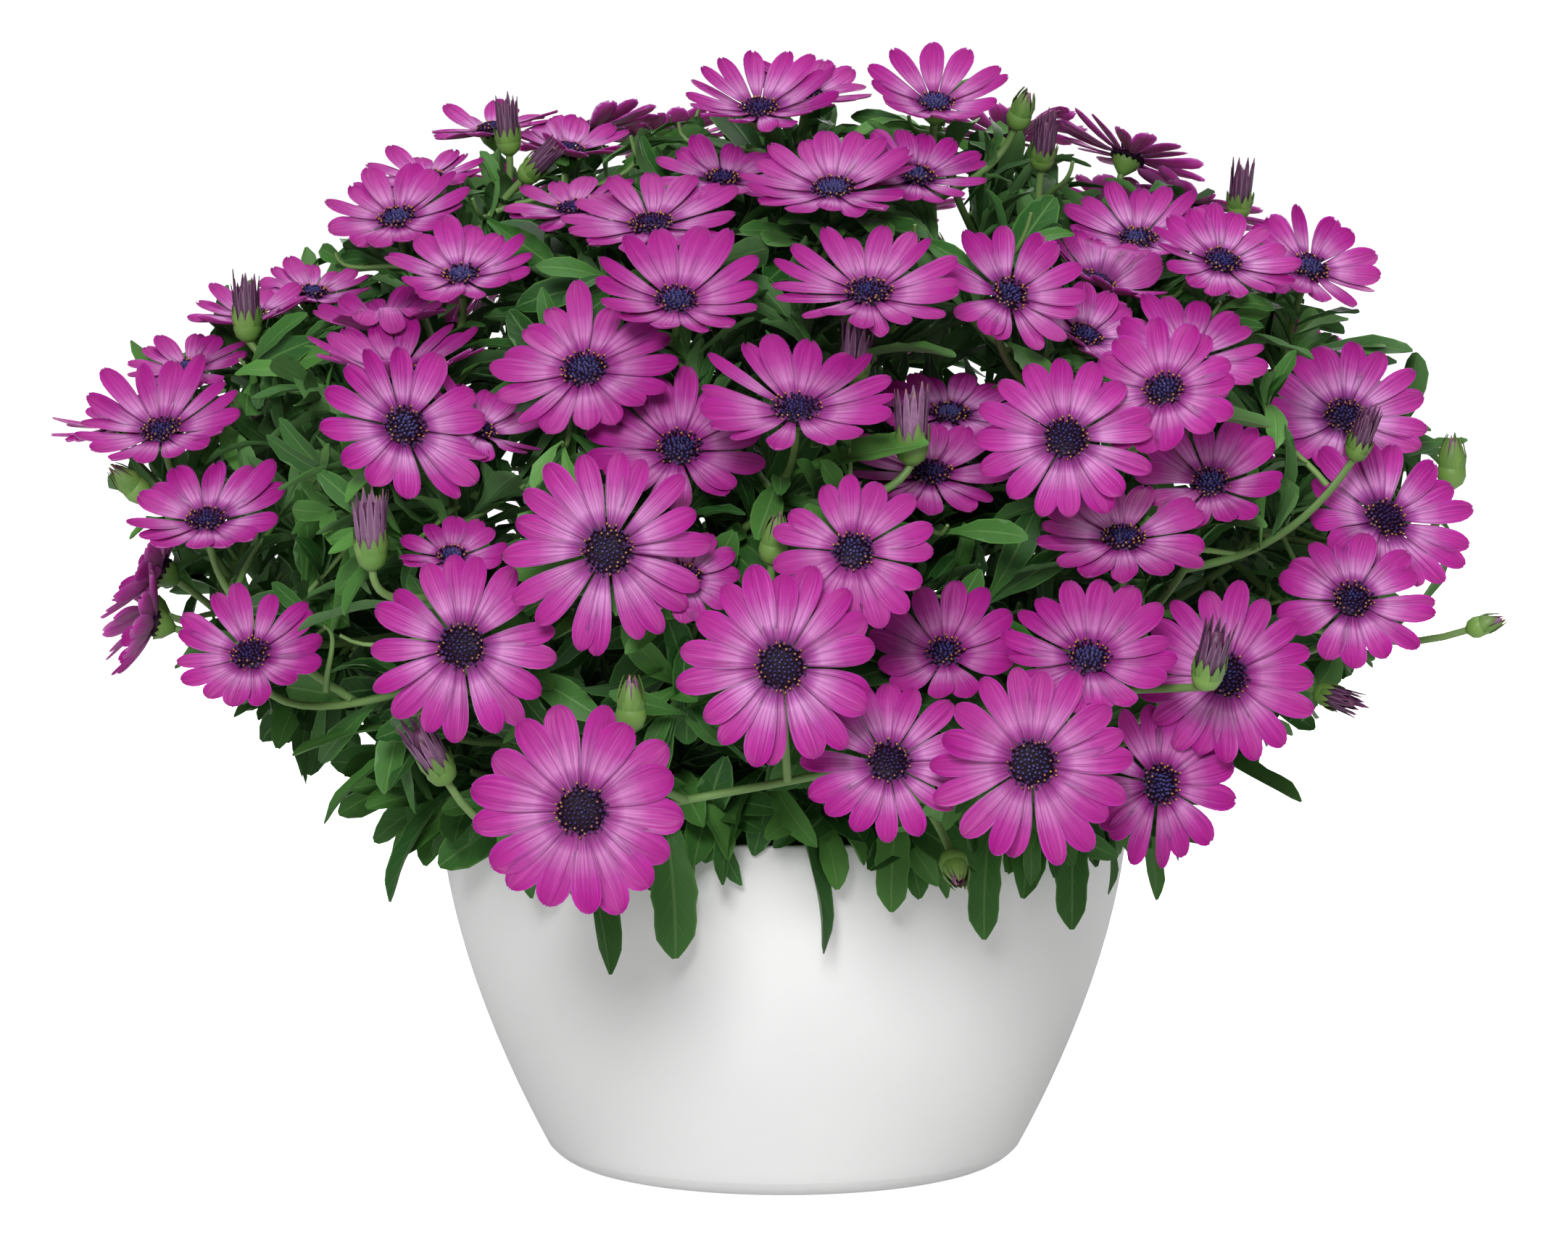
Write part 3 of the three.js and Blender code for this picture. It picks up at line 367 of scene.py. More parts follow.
def lay_blooms():
    """The show side's blooms as listed, then the rows of pairs behind."""
    draw = seeded(4177)
    blooms = []
    for group, rows in enumerate(SHOW_GROUPS):
        for across, up, out, radius, turn, tilt, cup in rows:
            blooms.append(Bloom(shown(across, up, out), radius, turn, tilt, cup, group))
    group = len(SHOW_GROUPS)
    for pairs, up, first, last in BACK_ROWS:
        for pair in range(pairs):
            middle = first + (last - first) * (pair + 0.5) / pairs
            half = (last - first) / pairs / 4
            lift = draw(-10, 10)
            for way in (-1, 1):
                radius = draw(29, 34)
                blooms.append(dome_bloom(middle + way * half, up - way * lift, radius, draw, group))
            group += 1
    return blooms


def crosses(a, b):
    """Petals of two blooms cross where the ring of one passes through the dish of the other."""
    reach = 0.8
    distance, over = against_dish(a, b.ring(reach, RING_POINTS))
    inside = np.maximum(distance, np.roll(distance, -1)) < reach * a.radius
    return bool((inside & (over * np.roll(over, -1) < 0)).any())


def pierces(a, b):
    """Whether a bloom's heart or the start of its stem meets its partner's petals."""
    heart = b.centre + np.array(HEART)[:, None] * b.normal
    distance, over = against_dish(a, heart)
    room = CLEAR["stem"] + CALYX_RADIUS - STEM_RADIUS
    return bool(((distance < a.radius + 2) & (np.abs(over) < room)).any())


def touches_well(a, b):
    """The petals of two blooms cross, and neither bloom's heart or stem goes through them."""
    return (crosses(a, b) or crosses(b, a)) and not pierces(a, b) and not pierces(b, a)


def shifts_of(shift):
    """Moves of one size, along the way to the partner and up its axis."""
    for lift in range(-shift, shift + 1, SHIFT_STEP):
        yield shift - abs(lift), lift
        yield abs(lift) - shift, lift


def seat_beside(partner, bloom):
    """Shifts a bloom a little until its petals and its partner's cross, and neither pierces."""
    home = bloom.centre
    way = unit(partner.centre - home)
    for shift in range(0, FURTHEST_SHIFT + 1, SHIFT_STEP):
        for toward, lift in shifts_of(shift):
            bloom.centre = home + way * toward + partner.normal * lift
            if touches_well(partner, bloom):
                return
    bloom.centre = home


def gather(blooms):
    """Seats every bloom of a group beside the group's first."""
    first = {}
    for bloom in blooms:
        partner = first.setdefault(bloom.group, bloom)
        if partner is not bloom:
            seat_beside(partner, bloom)


def probes_of(bloom):
    """Points on a bloom that are kept out of other groups' dishes."""
    ends = np.array([bloom.centre + DISC_DOME * bloom.normal, bloom.centre - CLEAR["stub"] * bloom.normal])
    return np.concatenate([ends, bloom.ring(0.5, 8), bloom.ring(0.8, 14), bloom.ring(1, 20)])


def lies_over(a, b):
    """Of two blooms that look much the same way, one lies over the other."""
    if a.normal @ b.normal < 0.3:
        return against_dish(b, a.centre[None])[1][0] >= 0
    return (a.centre - b.centre) @ (a.normal + b.normal) >= 0


def spread(blooms):
    """Groups move apart as rigid bodies until no bloom reaches into another group's dish."""
    count = len(blooms)
    group = np.array([bloom.group for bloom in blooms])
    radius = np.array([float(bloom.radius) for bloom in blooms])
    cup = np.array([bloom.cup for bloom in blooms])
    normal = np.array([bloom.normal for bloom in blooms])
    centre = np.array([bloom.centre for bloom in blooms])
    probes = np.array([probes_of(bloom) for bloom in blooms])
    sides = np.zeros((count, count))
    apart = group[:, None] != group[None, :]
    for _ in range(SPREAD_ROUNDS):
        between = centre[:, None] - centre[None]
        far = np.sqrt((between * between).sum(-1))
        close = apart & (far <= radius[:, None] + radius[None] + CLEAR["stub"])
        for i, j in np.argwhere(close & (sides == 0)):
            blooms[i].centre = centre[i]
            blooms[j].centre = centre[j]
            sides[i, j] = 1 if lies_over(blooms[i], blooms[j]) else -1
        here, there = np.nonzero(close)
        away = probes[here] - centre[there][:, None]
        height = (away * normal[there][:, None]).sum(-1)
        distance = np.sqrt(np.maximum(0, (away * away).sum(-1) - height * height))
        reach = radius[there][:, None]
        dish = (cup[there] * radius[there])[:, None] * (np.minimum(distance, reach) / reach) ** DISH_POWER
        over = height - dish - PETAL_MIDDLE
        room = CLEAR["dish"] + np.where(distance < 0.3 * reach, CLEAR["disc"], 0)
        side = sides[here, there]
        need = np.where(distance > reach + 2, 0, room - side[:, None] * over).max(1)
        pushed = need > 0
        push = (SPREAD_SHARE * np.minimum(need, SPREAD_MOST) * side)[pushed, None] * normal[there[pushed]]
        moves = np.zeros((group.max() + 1, 3))
        np.add.at(moves, group[here[pushed]], push)
        np.add.at(moves, group[there[pushed]], -push)
        centre = centre + moves[group]
        probes = probes + moves[group][:, None]
    for bloom, place in zip(blooms, centre):
        bloom.centre = place


# ---------------------------------------------------------------- layout: stems


class Stem:
    def __init__(self, kind, sector, points, samples, fault=0, control=None, bloom=None):
        self.kind = kind
        self.sector = sector
        self.points = points
        self.samples = samples
        self.fault = fault
        self.control = control
        self.bloom = bloom
        self.own_samples = samples


def sector_of(point):
    return int(((bearing(point) + 180 / SECTORS) % 360) // (360 / SECTORS))


def limbs_of(sector):
    """The two limbs of a crown, as lines of points."""
    angle = sector * 360 / SECTORS
    base = at_bearing(angle, CROWN_DISTANCE, SOIL_TOP + CROWN_RISE - LIMB_SUNK)
    return [np.array([base] + [at_bearing(angle, *place) for place in places]) for places in LIMBS]


def bezier(control, count):
    """Points along a curve from its four control points."""
    a, b, c, d = control
    t = (np.arange(count + 1) / count)[:, None]
    k = 1 - t
    return k**3 * a + 3 * k**2 * t * b + 3 * k * t**2 * c + t**3 * d


def sampled(points, spacing):
    """Samples along a line of points, no further apart than the spacing."""
    samples = []
    for here, there in zip(points[:-1], points[1:]):
        count = max(1, math.ceil(size_of(there - here) / spacing))
        samples.append(here + (there - here) * (np.arange(count) / count)[:, None])
    samples.append(np.array(points[-1])[None])
    return np.concatenate(samples)


def reach_into(samples, spots, room):
    """How far samples reach into spots that want some room."""
    if len(samples) == 0 or len(spots) == 0:
        return 0.0
    low = samples.min(0) - room
    high = samples.max(0) + room
    spots = spots[((spots > low) & (spots < high)).all(1)]
    if len(spots) == 0:
        return 0.0
    away = samples[:, None] - spots[None]
    return max(0.0, room - math.sqrt(float((away * away).sum(-1).min())))


def past_root(samples, root):
    """The samples beyond the part near a root, which may touch what it grows from."""
    away = samples - root
    return samples[(away * away).sum(-1) >= OWN_REACH * OWN_REACH]


def into_others(samples, others, sector, room, root):
    """How far samples reach into other stems or leaves, which may touch near a root in one sector."""
    kin = [other.samples for other in others if other.sector == sector]
    foreign = [other.samples for other in others if other.sector != sector]
    worst = 0.0
    if foreign:
        worst = reach_into(samples, np.concatenate(foreign), room)
    if kin:
        worst = max(worst, reach_into(past_root(samples, root), np.concatenate(kin), room))
    return worst


def pot_radius(up):
    """The pot's outer radius at a height: it flares in a bulging line from base to rim."""
    share = 1 - np.minimum(up, POT_HEIGHT) / POT_HEIGHT
    return POT_BASE + (POT_RIM - POT_BASE) * (1 - share**POT_BULGE)


def into_pot(samples, room):
    """How far samples reach into the pot's wall or the soil."""
    low = samples[samples[:, 2] <= POT_HEIGHT + room]
    if len(low) == 0:
        return 0.0
    reach = np.hypot(low[:, 0], low[:, 1])
    outside = pot_radius(low[:, 2]) + room - reach
    beyond_wall = reach - (pot_radius(low[:, 2]) - POT_WALL - room)
    under_soil = SOIL_TOP + SOIL_MOUND + room - low[:, 2]
    inside = np.maximum(beyond_wall, under_soil)
    return max(0.0, float(np.minimum(outside, inside).max()))


def forks_for(end, arrive, sector, stems):
    """The places that a new stem may grow from, nearest first."""
    taken = [stem.points[0] for stem in stems if stem.control is not None]
    taken = np.array(taken) if taken else np.full((1, 3), 1e9)
    spots = []
    for stem in stems:
        if stem.sector != sector or stem.kind not in FORKS:
            continue
        last = math.floor(FORKS[stem.kind] * (len(stem.own_samples) - 1))
        for spot in stem.own_samples[: last + 1]:
            way = end - spot
            length = size_of(way)
            if length < STEM_SHORTEST or way @ arrive < STEM_FORWARD * length:
                continue
            near = ((taken - spot) ** 2).sum(-1).min() < FORK_PITCH * FORK_PITCH
            spots.append((length + max(0, spot[2] - end[2]) + (FORK_CROWDED if near else 0), spot))
    spots.sort(key=lambda row: row[0])
    forks = []
    for _, spot in spots:
        if len(forks) < FORK_CHOICES and all(size_of(fork - spot) > FORK_APART for fork in forks):
            forks.append(spot)
    return forks if forks else [limbs_of(sector)[1][1]]


def curves_between(spot, end, arrive):
    """Ways from a fork to a stem's end, as curves' control points: the straightest ones first."""
    side = unit(vec(-arrive[1], arrive[0], 0))
    top = np.cross(arrive, side)
    length = size_of(end - spot)
    for swing in STEM_SWINGS:
        for turn in range(STEM_TURNS if swing else 1):
            angle = 2 * math.pi * turn / STEM_TURNS
            sway = side * (math.cos(angle) * swing) + top * (math.sin(angle) * swing)
            for reach in STEM_ARRIVALS:
                near = end - arrive * (reach * length) + sway
                yield spot, spot + (near - spot) * 0.4, near, end


def route_stem(end, arrive, sector, dishes, stems, own):
    """A stem that arrives along a direction, by the nearest way round that is clear."""
    kin = np.concatenate([stem.samples for stem in stems if stem.sector == sector])
    foreign = np.concatenate([stem.samples for stem in stems if stem.sector != sector])
    room = CLEAR["stem_to_stem"]
    best = None
    for spot in forks_for(end, arrive, sector, stems):
        lengths = 3 if size_of(end - spot) > STEM_LONG else 2
        for control in curves_between(spot, end, arrive):
            points = bezier(control, lengths)
            samples = sampled(points, SAMPLE_SPACING)
            fault = dishes.fault(samples, CLEAR["stem"], own)
            fault += reach_into(samples, foreign, room)
            fault += LIKING * reach_into(past_root(samples, spot), kin, room)
            if best is None or fault < best.fault - 1e-6:
                best = Stem("leaf", sector, points, samples, fault, control, own)
            if best.fault == 0:
                return best
        if best.fault <= LIKING * room:
            return best
    return best


def lay_stems(blooms, dishes):
    """The limbs, then a stem to each bloom, with the blooms nearest to their crown first."""
    stems = []
    for sector in range(SECTORS):
        for points in limbs_of(sector):
            stems.append(Stem("limb", sector, points, sampled(points, SAMPLE_SPACING)))
    jobs = []
    for bloom in blooms:
        end = bloom.centre - bloom.normal * (DISC_UNDER + GAP + CALYX_LENGTH)
        sector = sector_of(end)
        jobs.append((size_of(end - limbs_of(sector)[0][0]), bloom, end, sector))
    jobs.sort(key=lambda job: job[0])
    for _, bloom, end, sector in jobs:
        stem = route_stem(end, bloom.normal, sector, dishes, stems, bloom)
        stem.kind = "bloom"
        stems.append(stem)
    return stems


class Bud:
    def __init__(self, base, axis, radius, length, sector, kind):
        self.base = base
        self.axis = axis
        self.radius = radius
        self.length = length
        self.sector = sector
        self.kind = kind


def lay_buds(dishes, stems):
    """A bud sits where it is listed, or a little further out or up where a bloom is in its way."""
    buds = []
    for across, up, out, radius, turn, tilt, kind in BUDS:
        axis = facing(turn, tilt)
        length = radius * BUD_SLIMNESS
        listed = shown(across, up, out)
        outward = unit(vec(listed[0], listed[1], 0))
        for push, lift in BUD_SHIFTS:
            base = listed + outward * push + axis * (lift - length / 2)
            body = sampled([base, base + axis * length], BODY_SPACING)
            sector = sector_of(base)
            if dishes.fault(body, radius + CLEAR["bud"]) > 0:
                continue
            if into_others(body, stems, sector, radius + STEM_RADIUS + CLEAR["bud_to_stem"], base) > 0:
                continue
            stem = route_stem(base, axis, sector, dishes, stems, None)
            if stem.fault > LIKING * CLEAR["stem_to_stem"]:
                continue
            stem.kind = "bud"
            stem.samples = np.concatenate([stem.samples, body])
            stems.append(stem)
            buds.append(Bud(base, axis, radius, length, sector, kind))
            break
    return buds


# ---------------------------------------------------------------- layout: leaves


class Leaf:
    def __init__(self, root, tip, outline, half_width, droop, roll, sector):
        line = tip - root
        self.root = root
        self.length = size_of(line)
        self.line = line / self.length
        side = unit(np.cross(self.line, vec(0, 0, 1)))
        self.side = side * math.cos(roll) + np.cross(self.line, side) * math.sin(roll)
        self.face = np.cross(self.side, self.line)
        self.half_width = half_width
        self.droop = droop
        self.sector = sector
        edge = [self.spot(0, 0, 0)]
        edge += [self.spot(share, width, 0) for share, width in outline]
        edge += [self.spot(1, 0, 0)]
        edge += [self.spot(share, -width, 0) for share, width in reversed(outline)]
        middle = self.spot(0.58, 0, 0.8)
        lines = [sampled(line, SAMPLE_SPACING) for line in (edge + [edge[0]], [root, middle, tip])]
        samples = np.concatenate(lines)
        away = samples - root
        self.samples = samples[(away * away).sum(-1) > LEAF_FOOT * LEAF_FOOT]

    def spot(self, share, width, rise):
        ahead = self.line * (share * self.length)
        aside = self.side * (width * self.half_width)
        up = self.face * (rise + self.droop * 4 * share * (1 - share))
        return self.root + ahead + aside + up


def out_of_wedge(samples, sector):
    """How far a leaf leaves its sector's wedge, which it keeps to so that two sectors' never meet."""
    middle = sector * 360 / SECTORS
    half = 180 / SECTORS
    worst = 0.0
    for edge in (-1, 1):
        wall = at_bearing(middle + edge * (half + 90), 1, 0)
        worst = max(worst, float((0.6 + samples[:, :2] @ wall[:2]).max()))
    return worst


def leaf_fault(leaf, dishes, stems, leaves):
    """How badly a leaf meets the pot, the next sector, a bloom, a stem or another leaf."""
    if into_pot(leaf.samples, CLEAR["pot"]) > 0 or out_of_wedge(leaf.samples, leaf.sector) > 0:
        return 1.0
    fault = dishes.fault(leaf.samples, CLEAR["leaf"])
    if fault > 0:
        return fault
    fault = into_others(leaf.samples, stems, leaf.sector, CLEAR["leaf_to_stem"], leaf.root)
    if fault > 0:
        return fault
    return into_others(leaf.samples, leaves, leaf.sector, CLEAR["leaf_to_stem"], leaf.root)


def rim_sprays():
    """Where each spray over the rim parts, and the tips and half widths of its leaves."""
    sprays = []
    for root, tips in RIM_SPRAYS:
        ends = [(shown(across, up, out), half_width) for across, up, out, half_width in tips]
        sprays.append((shown(*root), ends))
    pitch = (RIM_BACK_TO - RIM_BACK_FROM) / RIM_BACK_SPRAYS
    for k in range(RIM_BACK_SPRAYS):
        angle = RIM_BACK_FROM + pitch * (k + 0.5)
        ends = []
        for n, sweep in enumerate(RIM_BACK_SWEEPS):
            reach = POT_RIM + 18 + ((k + n) % 3) * RIM_BACK_STEP
            up = POT_HEIGHT + 10 - RIM_BACK_DROP + ((k + 2 * n) % 4) * RIM_BACK_STEP
            ends.append((at_bearing(angle + sweep, reach, up), RIM_BACK_HALF_WIDTH))
        sprays.append((at_bearing(angle, POT_RIM + 2, POT_HEIGHT + 16), ends))
    return sprays


def lay_rim_leaves(dishes, stems):
    """Sprays of leaves on stems of their own, where both are clear."""
    leaves = []
    for root, ends in rim_sprays():
        sector = sector_of(root)
        arrive = unit(unit(vec(root[0], root[1], 0)) * 0.9 + vec(0, 0, 0.3))
        stem = route_stem(root + arrive, arrive, sector, dishes, stems, None)
        if stem.fault > LIKING * CLEAR["stem_to_stem"]:
            continue
        made = [Leaf(root, tip, RIM_OUTLINE, half_width, 5, 0, sector) for tip, half_width in ends]
        fitting = [leaf for leaf in made if leaf_fault(leaf, dishes, stems, []) == 0]
        if fitting:
            stems.append(stem)
            leaves += fitting
    return leaves


def lay_leaves(dishes, stems, leaves):
    """A leaf on two in three of the blooms' stems, turned until it is clear."""
    draw = seeded(9931)
    bearers = [stem for stem in stems if stem.kind == "bloom"]
    for order, stem in enumerate(bearers):
        if order % 3 == 2:
            continue
        root = stem.samples[int(LEAF_PLACE * (len(stem.samples) - 1) + 0.5)]
        for _ in range(LEAF_TRIES):
            outward = bearing(root) + draw(-70, 70)
            way = unit(at_bearing(outward, 1, draw(-0.35, 0.75)))
            tip = root + way * draw(40, 56)
            half_width = draw(5.6, 7.4)
            droop = draw(1, 5)
            leaf = Leaf(root, tip, INNER_OUTLINE, half_width, droop, draw(-0.7, 0.7), stem.sector)
            if dome_share(tip) > LEAF_REACH or leaf_fault(leaf, dishes, stems, leaves) > 0:
                continue
            leaves.append(leaf)
            break


blooms = lay_blooms()
gather(blooms)
spread(blooms)
dishes = Dishes(blooms)
stems = lay_stems(blooms, dishes)
buds = lay_buds(dishes, stems)
leaves = lay_rim_leaves(dishes, stems)
lay_leaves(dishes, stems, leaves)


# ---------------------------------------------------------------- mesh making

PETAL, FLORET, POLLEN = range(3)
STEM, LEAF, BRACT, FOLDED = range(4)
VALUES = ("along", "across", "tone")
UPPER, LOWER = 0.0, 1.0
CREASE = math.radians(75)


def grid_faces(rows, columns):
    """The faces of a thin closed blade: an upper grid and a lower one that meet along its edge."""
    wide = columns + 1
    upper = np.arange((rows + 1) * wide).reshape(rows + 1, wide)
    lower = upper.copy()
    lower[1:-1, 1:-1] = upper.size + np.arange((rows - 1) * (columns - 1)).reshape(rows - 1, columns - 1)

    def faces(grid):
        return np.stack([grid[:-1, :-1], grid[1:, :-1], grid[1:, 1:], grid[:-1, 1:]], -1).reshape(-1, 4)

    return faces(upper), faces(lower)[:, ::-1]


class Maker:
    """Gathers the blades, tubes and turned shapes of one piece, and makes its mesh."""

    def __init__(self):
        self.points = []
        self.values = []
        self.faces = []
        self.count = 0

    def add(self, points, groups, finish, along=0.0, across=0.0, tone=0.0):
        """groups is a list of (faces, side), with faces as rows of point numbers."""
        points = np.asarray(points, float).reshape(-1, 3)
        values = [np.asarray(value, float).ravel() for value in (along, across, tone)]
        for faces, side in groups:
            self.faces.append((np.asarray(faces, int) + self.count, finish, side))
        self.points.append(points)
        self.values.append(np.stack([np.broadcast_to(value, len(points)) for value in values], 1))
        self.count += len(points)

    def blade(self, upper, lower, finish, along, across, tone, faces):
        """A thin closed blade from its upper and lower grids of points."""
        inner = (slice(1, -1), slice(1, -1))
        points = np.concatenate([upper.reshape(-1, 3), lower[inner].reshape(-1, 3)])
        along = np.concatenate([along.ravel(), along[inner].ravel()])
        across = np.concatenate([across.ravel(), across[inner].ravel()])
        self.add(points, [(faces[0], UPPER), (faces[1], LOWER)], finish, along, across, tone)

    def rings(self, rings, finish, along=0.0, tone=0.0):
        """A closed body from rings of points, (rings, sides, 3), with a point at each end."""
        count, sides = rings.shape[:2]
        points = np.concatenate([rings.reshape(-1, 3), rings[0].mean(0)[None], rings[-1].mean(0)[None]])
        here = np.arange(sides)
        ahead = (here + 1) % sides
        ring = sides * np.arange(count - 1)[:, None]
        walls = np.stack([ring + here, ring + ahead, ring + ahead + sides, ring + here + sides], -1)
        middle = np.full(sides, count * sides)
        last = (count - 1) * sides
        foot = np.stack([ahead, here, middle], 1)
        top = np.stack([last + here, last + ahead, middle + 1], 1)
        if np.ndim(along) == 1:
            along = np.concatenate([np.repeat(along, sides), [along[0], along[-1]]])
        faces = [(walls.reshape(-1, 4), UPPER), (np.concatenate([foot, top]), UPPER)]
        self.add(points, faces, finish, along, 0.0, tone)

    def tube(self, line, radii, sides, finish, **values):
        """A round stem along a line of points."""
        line = np.asarray(line, float)
        ahead = np.gradient(line, axis=0)
        ahead /= np.linalg.norm(ahead, axis=1)[:, None]
        side = vec(0.31, 0.95, 0.05)
        angles = 2 * np.pi * np.arange(sides)[:, None] / sides
        rings = []
        for point, way, radius in zip(line, ahead, np.broadcast_to(radii, len(line))):
            side = unit(side - way * (side @ way))
            other = np.cross(way, side)
            rings.append(point + radius * (np.cos(angles) * side + np.sin(angles) * other))
        self.rings(np.array(rings), finish, **values)

    def turned(self, base, axis, radii, rises, sides, finish, ripple=None, **values):
        """A body turned round an axis. ripple scales each point's radius, rings by sides."""
        side = unit(np.cross(axis, vec(0.2, 0.7, 0.5)))
        other = np.cross(axis, side)
        angles = 2 * np.pi * np.arange(sides) / sides
        reach = np.broadcast_to(np.asarray(radii, float)[:, None], (len(radii), sides))
        if ripple is not None:
            reach = reach * ripple
        rise = np.asarray(rises, float)
        rise = np.broadcast_to(rise if rise.ndim == 2 else rise[:, None], (len(radii), sides))
        round_it = np.cos(angles)[:, None] * side + np.sin(angles)[:, None] * other
        rings = base + reach[..., None] * round_it[None] + rise[..., None] * axis
        self.rings(rings, finish, **values)

    def mesh(self, name, finishes):
        """The piece, with what was gathered as its one mesh."""
        mesh = bpy.data.meshes.new(name)
        points = np.concatenate(self.points) * MM
        mesh.vertices.add(len(points))
        mesh.vertices.foreach_set("co", points.astype(np.float32).ravel())
        loops = np.concatenate([faces.ravel() for faces, _, _ in self.faces])
        counts = [len(faces) for faces, _, _ in self.faces]
        corners = np.repeat([faces.shape[1] for faces, _, _ in self.faces], counts)
        finish = np.repeat([finish for _, finish, _ in self.faces], counts)
        under = np.repeat([side for _, _, side in self.faces], counts)
        mesh.loops.add(len(loops))
        mesh.loops.foreach_set("vertex_index", loops.astype(np.int32))
        mesh.polygons.add(len(corners))
        mesh.polygons.foreach_set("loop_start", (np.cumsum(corners) - corners).astype(np.int32))
        mesh.polygons.foreach_set("material_index", finish.astype(np.int32))
        mesh.polygons.foreach_set("use_smooth", np.full(len(corners), True))
        layer = mesh.attributes.new("under", "FLOAT", "FACE")
        layer.data.foreach_set("value", under.astype(np.float32))
        values = np.concatenate(self.values)
        for column, key in enumerate(VALUES):
            layer = mesh.attributes.new(key, "FLOAT", "POINT")
            layer.data.foreach_set("value", values[:, column].astype(np.float32))
        for finish in finishes:
            mesh.materials.append(finish)
        mesh.update(calc_edges=True)
        mesh.set_sharp_from_angle(angle=CREASE)
        piece = bpy.data.objects.new(name, mesh)
        bpy.context.scene.collection.objects.link(piece)
        return piece


def finish_piece(piece, node):
    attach(piece, "root")
    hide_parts(node)


# ---------------------------------------------------------------- blooms


def grid_of(rows, columns):
    """Rows along a blade, columns across it, and its faces."""
    rows = np.array(rows, float)
    columns = np.array(columns, float)
    share, across = np.meshgrid(rows, columns, indexing="ij")
    return share, across, grid_faces(len(rows) - 1, len(columns) - 1)


PETAL_FINE = grid_of([0, 0.1, 0.24, 0.4, 0.56, 0.7, 0.81, 0.9, 0.965, 1], np.linspace(-1, 1, 7))
PETAL_PLAIN = grid_of([0, 0.18, 0.4, 0.62, 0.8, 0.92, 1], np.linspace(-1, 1, 5))
PETAL_ROOT = 0.15  # share of the bloom's radius where a petal starts, under the florets
PETAL_WIDEST = 0.73
PETAL_THICKNESS = 0.5
PETAL_GROOVES = 0.36  # share of the half width where its two grooves run
DEEPER_IN_FRONT = 0.5  # how much deeper in colour the blooms that are further out than FRONT_OUT are
FRONT_OUT = 150
STRAY_PETALS = 0.13  # share of the petals that lift or hang
POLLEN_SHARE = 0.45  # share of the open florets that carry pollen
FLORETS_SHOWN = 12  # florets for each mm of a disc's radius, on the show side and behind
FLORETS_BEHIND = 8
FLORET_CROWD = 9.2  # the same count where they have the sizes given below, and aren't finer or coarser
GOLDEN_TURN = math.pi * (3 - math.sqrt(5))
PARTNER_ROOM = 2.2  # how far petals keep off a partner's dish, easing off past its rim
PARTNER_EASE = 9.0
SHOWN_BLOOMS = sum(len(rows) for rows in SHOW_GROUPS)


def petal_outline(share):
    """Half width along a petal: a narrow claw, widest past the middle, with a round tip."""
    grown = 0.24 + 0.76 * np.sin(np.pi / 2 * np.minimum(share / PETAL_WIDEST, 1)) ** 1.25
    past = np.maximum(0, (share - PETAL_WIDEST) / (1 - PETAL_WIDEST))
    return grown * np.maximum(0.03, 1 - past**2.5) ** 0.52


def side_of(bloom, partner):
    """The side of its partner's dish that most of a bloom lies on: 1 is over it, -1 under it."""
    ring = np.concatenate([bloom.ring(share, RING_POINTS) for share in (0.4, 0.6, 0.8, 1.0)])
    distance, over = against_dish(partner, ring)
    return 1 if over[distance < partner.radius].sum() > 0 else -1


def kept_off(points, partner, side):
    """Points eased away from a partner's dish, so that petals lie over or under it and don't cross."""
    distance, over = against_dish(partner, points.reshape(-1, 3))
    near = np.clip((partner.radius + PARTNER_EASE - distance) / PARTNER_EASE, 0, 1)
    push = np.maximum(0, PARTNER_ROOM - side * over) * near
    return points + (side * push)[:, None].reshape(*points.shape[:-1], 1) * partner.normal


def add_petal(maker, bloom, partners, grid, angle, reach, half_width, rise, tone, rng):
    """A petal from the disc outward, with its own sway, roll, curl, channel, grooves and wave."""
    share, across, faces = grid
    radius = bloom.radius
    root = PETAL_ROOT * radius
    notch = 0.35 * np.cos(across * 2.2 * np.pi) * np.clip((share - 0.9) / 0.1, 0, 1)
    distance = root + (reach * radius - root) * share + notch
    distance = distance - 0.05 * half_width * across**2 * (share > 0.8)
    half = half_width * petal_outline(share)
    sway = rng.normal(0, 0.026) * radius * share**2
    roll = rng.normal(0, 0.2)
    curl = rng.normal(-0.012, 0.035) * radius * share**3
    if rng.uniform(0, 1) < STRAY_PETALS:
        curl = curl + rng.uniform(-0.12, 0.26) * radius * share**1.6
    channel = rng.uniform(0.04, 0.2) * half_width
    lines = np.exp(-(((np.abs(across) - PETAL_GROOVES) / 0.17) ** 2))
    groove = 0.28 * lines * np.sin(np.pi * np.clip(share, 0.04, 0.97))
    wave = rng.uniform(0, 0.4) * np.sin(share * rng.uniform(5, 9) + rng.uniform(0, 6)) * across**2 * share
    height = bloom.height(distance) + rise + curl - groove + wave
    height = height + channel * (across**2 - 0.5) * share
    height = height + half * across * math.sin(roll) * (0.3 + 0.7 * share)
    radial = math.cos(angle) * bloom.side + math.sin(angle) * bloom.top
    tangent = -math.sin(angle) * bloom.side + math.cos(angle) * bloom.top
    place = bloom.centre + distance[..., None] * radial
    place = place + (half * across * math.cos(roll) + sway)[..., None] * tangent
    upper = place + (height + PETAL_THICKNESS / 2)[..., None] * bloom.normal
    for partner, side in partners:
        upper = kept_off(upper, partner, side)
    lower = upper - PETAL_THICKNESS * bloom.normal
    maker.blade(upper, lower, PETAL, share, across, tone, faces)


